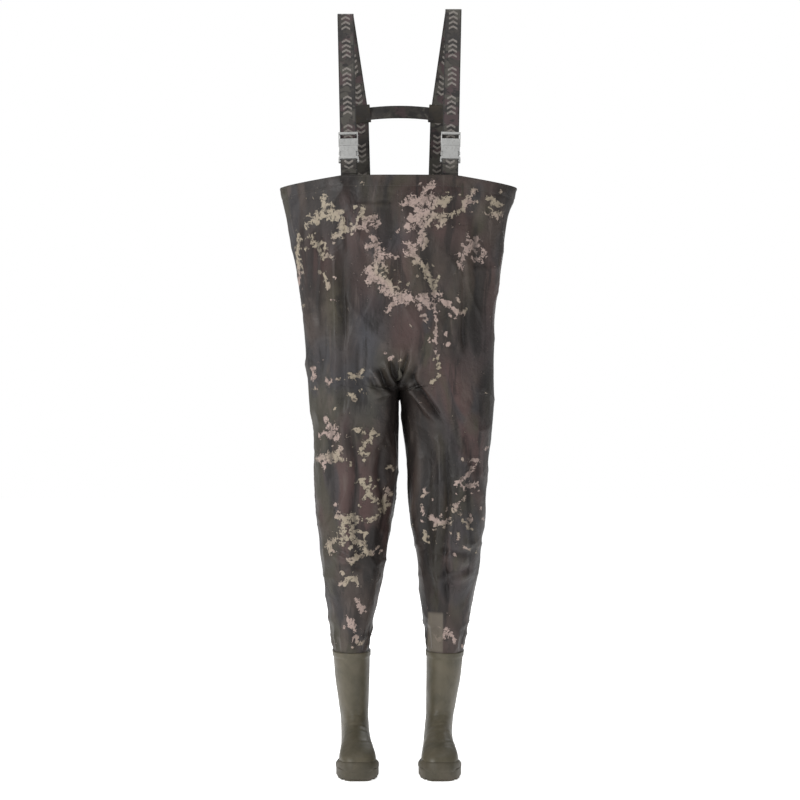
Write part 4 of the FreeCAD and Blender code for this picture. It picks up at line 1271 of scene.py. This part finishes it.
def boot_form(side):
    """The boot's outer skin as rows of points from the rim to the toe, and its outward normals."""
    shift = BOOT_STANCE[side][2]
    flat = [(*front, *back, half, lean) for front, back, half, lean in BOOT_SLICES]
    rows = smooth_rows(flat, 150)
    turn = np.linspace(0, 2 * math.pi, 97)
    cos, sin = np.cos(turn), np.sin(turn)
    points = []
    for fy, fz, by, bz, half, lean in rows:
        power = np.interp(fz, (20, 110, 160), (2.5, 2.3, 2.0))
        depth = np.sign(cos) * np.abs(cos) ** (2 / power)
        wide = np.sign(sin) * np.abs(sin) ** (2 / power)
        y = (fy + by) / 2 + depth * (fy - by) / 2
        z = (fz + bz) / 2 + depth * (fz - bz) / 2
        points.append(np.stack([lean * shift + wide * half, y, z], axis=1))
    points = np.array(points)
    along, around = np.gradient(points, axis=0), np.gradient(points, axis=1)
    around[:, 0] = around[:, -1] = points[:, 1] - points[:, -2]
    normal = unit(np.cross(along, around))
    centre = points.mean(axis=1, keepdims=True)
    if np.sum(normal * (points - centre)) < 0:
        normal = -normal
    return points, normal


def boot_relief(points):
    """Raised and sunk detail of the moulding: creases, toe cap, heel counter, rim and mould lines."""
    x, y, z = points[..., 0], points[..., 1], points[..., 2]
    relief = 0.9 * noise(points, (11, 11, 9), 3.0)
    front = step(30, -10, y)
    for crease_y, crease_z, depth in INSTEP_CREASES:
        wave = 2.5 * np.sin(x / 12 + crease_y)
        away = (z - crease_z) + 0.55 * (y - crease_y) + wave
        relief = relief - front * depth * bump(away, 0, 3.2) + front * 0.7 * depth * bump(away, 6, 4)
    cap = -92 + 0.006 * x ** 2
    relief = relief + 0.5 * step(cap + 2, cap - 2, y + 0.25 * (z - 40))
    counter = step(92, 96, y) * step(78, 74, z)
    relief = relief + 1.0 * counter
    relief = relief + 1.8 * step(257, 259, z)
    relief = relief + 0.5 * bump(x, 8, 1.6) * step(100, 118, y)
    relief = relief + 0.9 * bump(z, 118, 9) * bump(y, 4, 22)
    return relief


def boot(side):
    points, normal = boot_form(side)
    outer = points + normal * boot_relief(points)[..., None]
    inner = points - normal * WALL
    outer[..., 2] = np.maximum(outer[..., 2], SOLE_TOP)
    inner[..., 2] = np.maximum(inner[..., 2], SOLE_TOP + WALL)
    outer, inner = place_boot(outer, side), place_boot(inner, side)
    count = outer.shape[0] * outer.shape[1]
    index = np.arange(count).reshape(outer.shape[:2])
    index[:, -1] = index[:, 0]
    faces = [grid_faces(index, False), grid_faces(index + count, True)]
    rim = index[0]
    faces.append(np.stack([rim[:-1], rim[1:], rim[1:] + count, rim[:-1] + count], axis=-1))
    faces = [tuple(f) for f in np.concatenate(faces)]
    faces.append(tuple(index[-1, :-1]))
    faces.append(tuple(index[-1, -2::-1] + count))
    points = np.concatenate([outer.reshape(-1, 3), inner.reshape(-1, 3)])
    used = np.unique([v for f in faces for v in f])
    renumber = np.full(len(points), -1)
    renumber[used] = np.arange(len(used))
    obj = new_object(f"boot_{side}_shell", to_frame(points[used]), [tuple(renumber[list(f)]) for f in faces])
    tidy_normals(obj)
    set_material(obj, BOOT)
    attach(obj, f"boot_{side}")
    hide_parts(f"boot_upper_{side}", f"boot_collar_{side}")
    sole_rand(side)
    for node in (f"outsole_{side}", f"heel_block_{side}"):
        dressed(node, SOLE, 1.2, f"boot_{side}")
    set_material(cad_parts[f"insole_{side}"], INSIDE)


def sole_outline(grow_by):
    """The sole's outline: broad ball, narrow waist, round heel and toe."""
    ball, waist, heel = SOLE_HALF_WIDTHS
    right = [(ball * 0.62, -0.91), (ball, -0.5), (waist, 0.12), (heel, 0.6), (heel * 0.66, 0.92)]
    corners = [(0, -1.0)] + right + [(0, 1.0)] + [(-x, y) for x, y in right[::-1]]
    corners = np.array([(x, y * SOLE_HALF_LENGTH) for x, y in corners])
    ring = np.concatenate([corners, corners, corners])
    lap = len(corners) * OUTLINE_STEPS
    rows = smooth_rows(ring, 3 * lap + 1)[lap: 2 * lap + 1]
    tangent = unit(np.gradient(rows, axis=0))
    outward = np.stack([tangent[:, 1], -tangent[:, 0]], axis=1)
    return rows + outward * grow_by


def sole_rand(side):
    """The rolled strip round the foot, where the upper meets the sole."""
    profile = ((-9, 0), (-0.6, 0.02), (0.8, 0.1), (1.1, 0.3), (0.9, 0.75), (-0.2, 0.93), (-3, 1.0), (-9, 1.0))
    rings = []
    for grow_by, share in profile:
        flat = sole_outline(grow_by)
        tall = 10 + 13 * step(-60, -120, flat[:, 1]) + 5 * step(90, 120, flat[:, 1])
        inward = 4 * share * step(-60, -120, flat[:, 1])
        flat = flat - inward[:, None] * unit(flat)
        rings.append(np.column_stack([flat, SOLE_TOP + share * tall]))
    rings = place_boot(np.array(rings), side)
    columns = rings.shape[1]
    index = np.arange(len(profile) * columns).reshape(len(profile), columns)
    index[:, -1] = index[:, 0]
    index = np.concatenate([index, index[:1]], axis=0)
    faces = grid_faces(index, False)
    used = np.unique(faces)
    renumber = np.full(rings.size, -1)
    renumber[used] = np.arange(len(used))
    obj = new_object(f"sole_rand_{side}", to_frame(rings.reshape(-1, 3)[used]), renumber[faces])
    tidy_normals(obj)
    set_material(obj, SOLE)
    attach(obj, f"boot_{side}")


ROOM_LIGHT = 0.36


def camera_and_light():
    """The camera in front at chest-to-knee height, a white room, and large soft lights."""
    scene = bpy.context.scene
    camera = bpy.data.objects.new("camera", bpy.data.cameras.new("camera"))
    camera.data.sensor_width = 36
    camera.data.lens = 88.1
    camera.location = (0.0, -4.625, up(950))
    aim = Vector((0.0012, -0.025, up(863)))
    camera.rotation_euler = (aim - camera.location).to_track_quat("-Z", "Y").to_euler()
    scene.collection.objects.link(camera)
    scene.camera = camera
    world = bpy.data.worlds.new("studio")
    world.use_nodes = True
    nodes = world.node_tree.nodes
    background = nodes["Background"]
    background.inputs["Color"].default_value = (1, 1, 1, 1)
    path = nodes.new("ShaderNodeLightPath")
    strength = nodes.new("ShaderNodeMapRange")
    strength.inputs["To Min"].default_value = ROOM_LIGHT
    strength.inputs["To Max"].default_value = 1.0
    world.node_tree.links.new(path.outputs["Is Camera Ray"], strength.inputs["Value"])
    world.node_tree.links.new(strength.outputs["Result"], background.inputs["Strength"])
    scene.world = world
    scene.view_settings.view_transform = "Standard"
    lamps = (
        ("key", (-3.0, -2.6, up(2300)), 1.4, 120),
        ("fill", (2.4, -3.0, up(1300)), 2.0, 26),
        ("top", (0.2, 0.3, up(3300)), 1.6, 30),
        ("back", (0.4, 3.2, up(2000)), 2.0, 30),
    )
    middle = Vector((0, 0, up(800)))
    for name, place, size, power in lamps:
        light = bpy.data.lights.new(name, "AREA")
        light.size = size
        light.energy = power
        lamp = bpy.data.objects.new(name, light)
        lamp.location = place
        lamp.rotation_euler = (middle - lamp.location).to_track_quat("-Z", "Y").to_euler()
        scene.collection.objects.link(lamp)
    floor = new_object("floor", [(-9, -9, 0), (9, -9, 0), (9, 9, 0), (-9, 9, 0)], [(0, 1, 2, 3)], False)
    floor.location.z = up(0) - 0.0005
    set_material(floor, floor_material())


camera_and_light()
halves = {side: garment_half(side) for side in SIDES}
inside_trims()
outer_stitching()
tie_strap()
for wearer_side in SIDES:
    shoulder_strap(wearer_side)
    front_tab(wearer_side)
    buckle(wearer_side)
    sewn_blocks(wearer_side)
    boot(wearer_side)
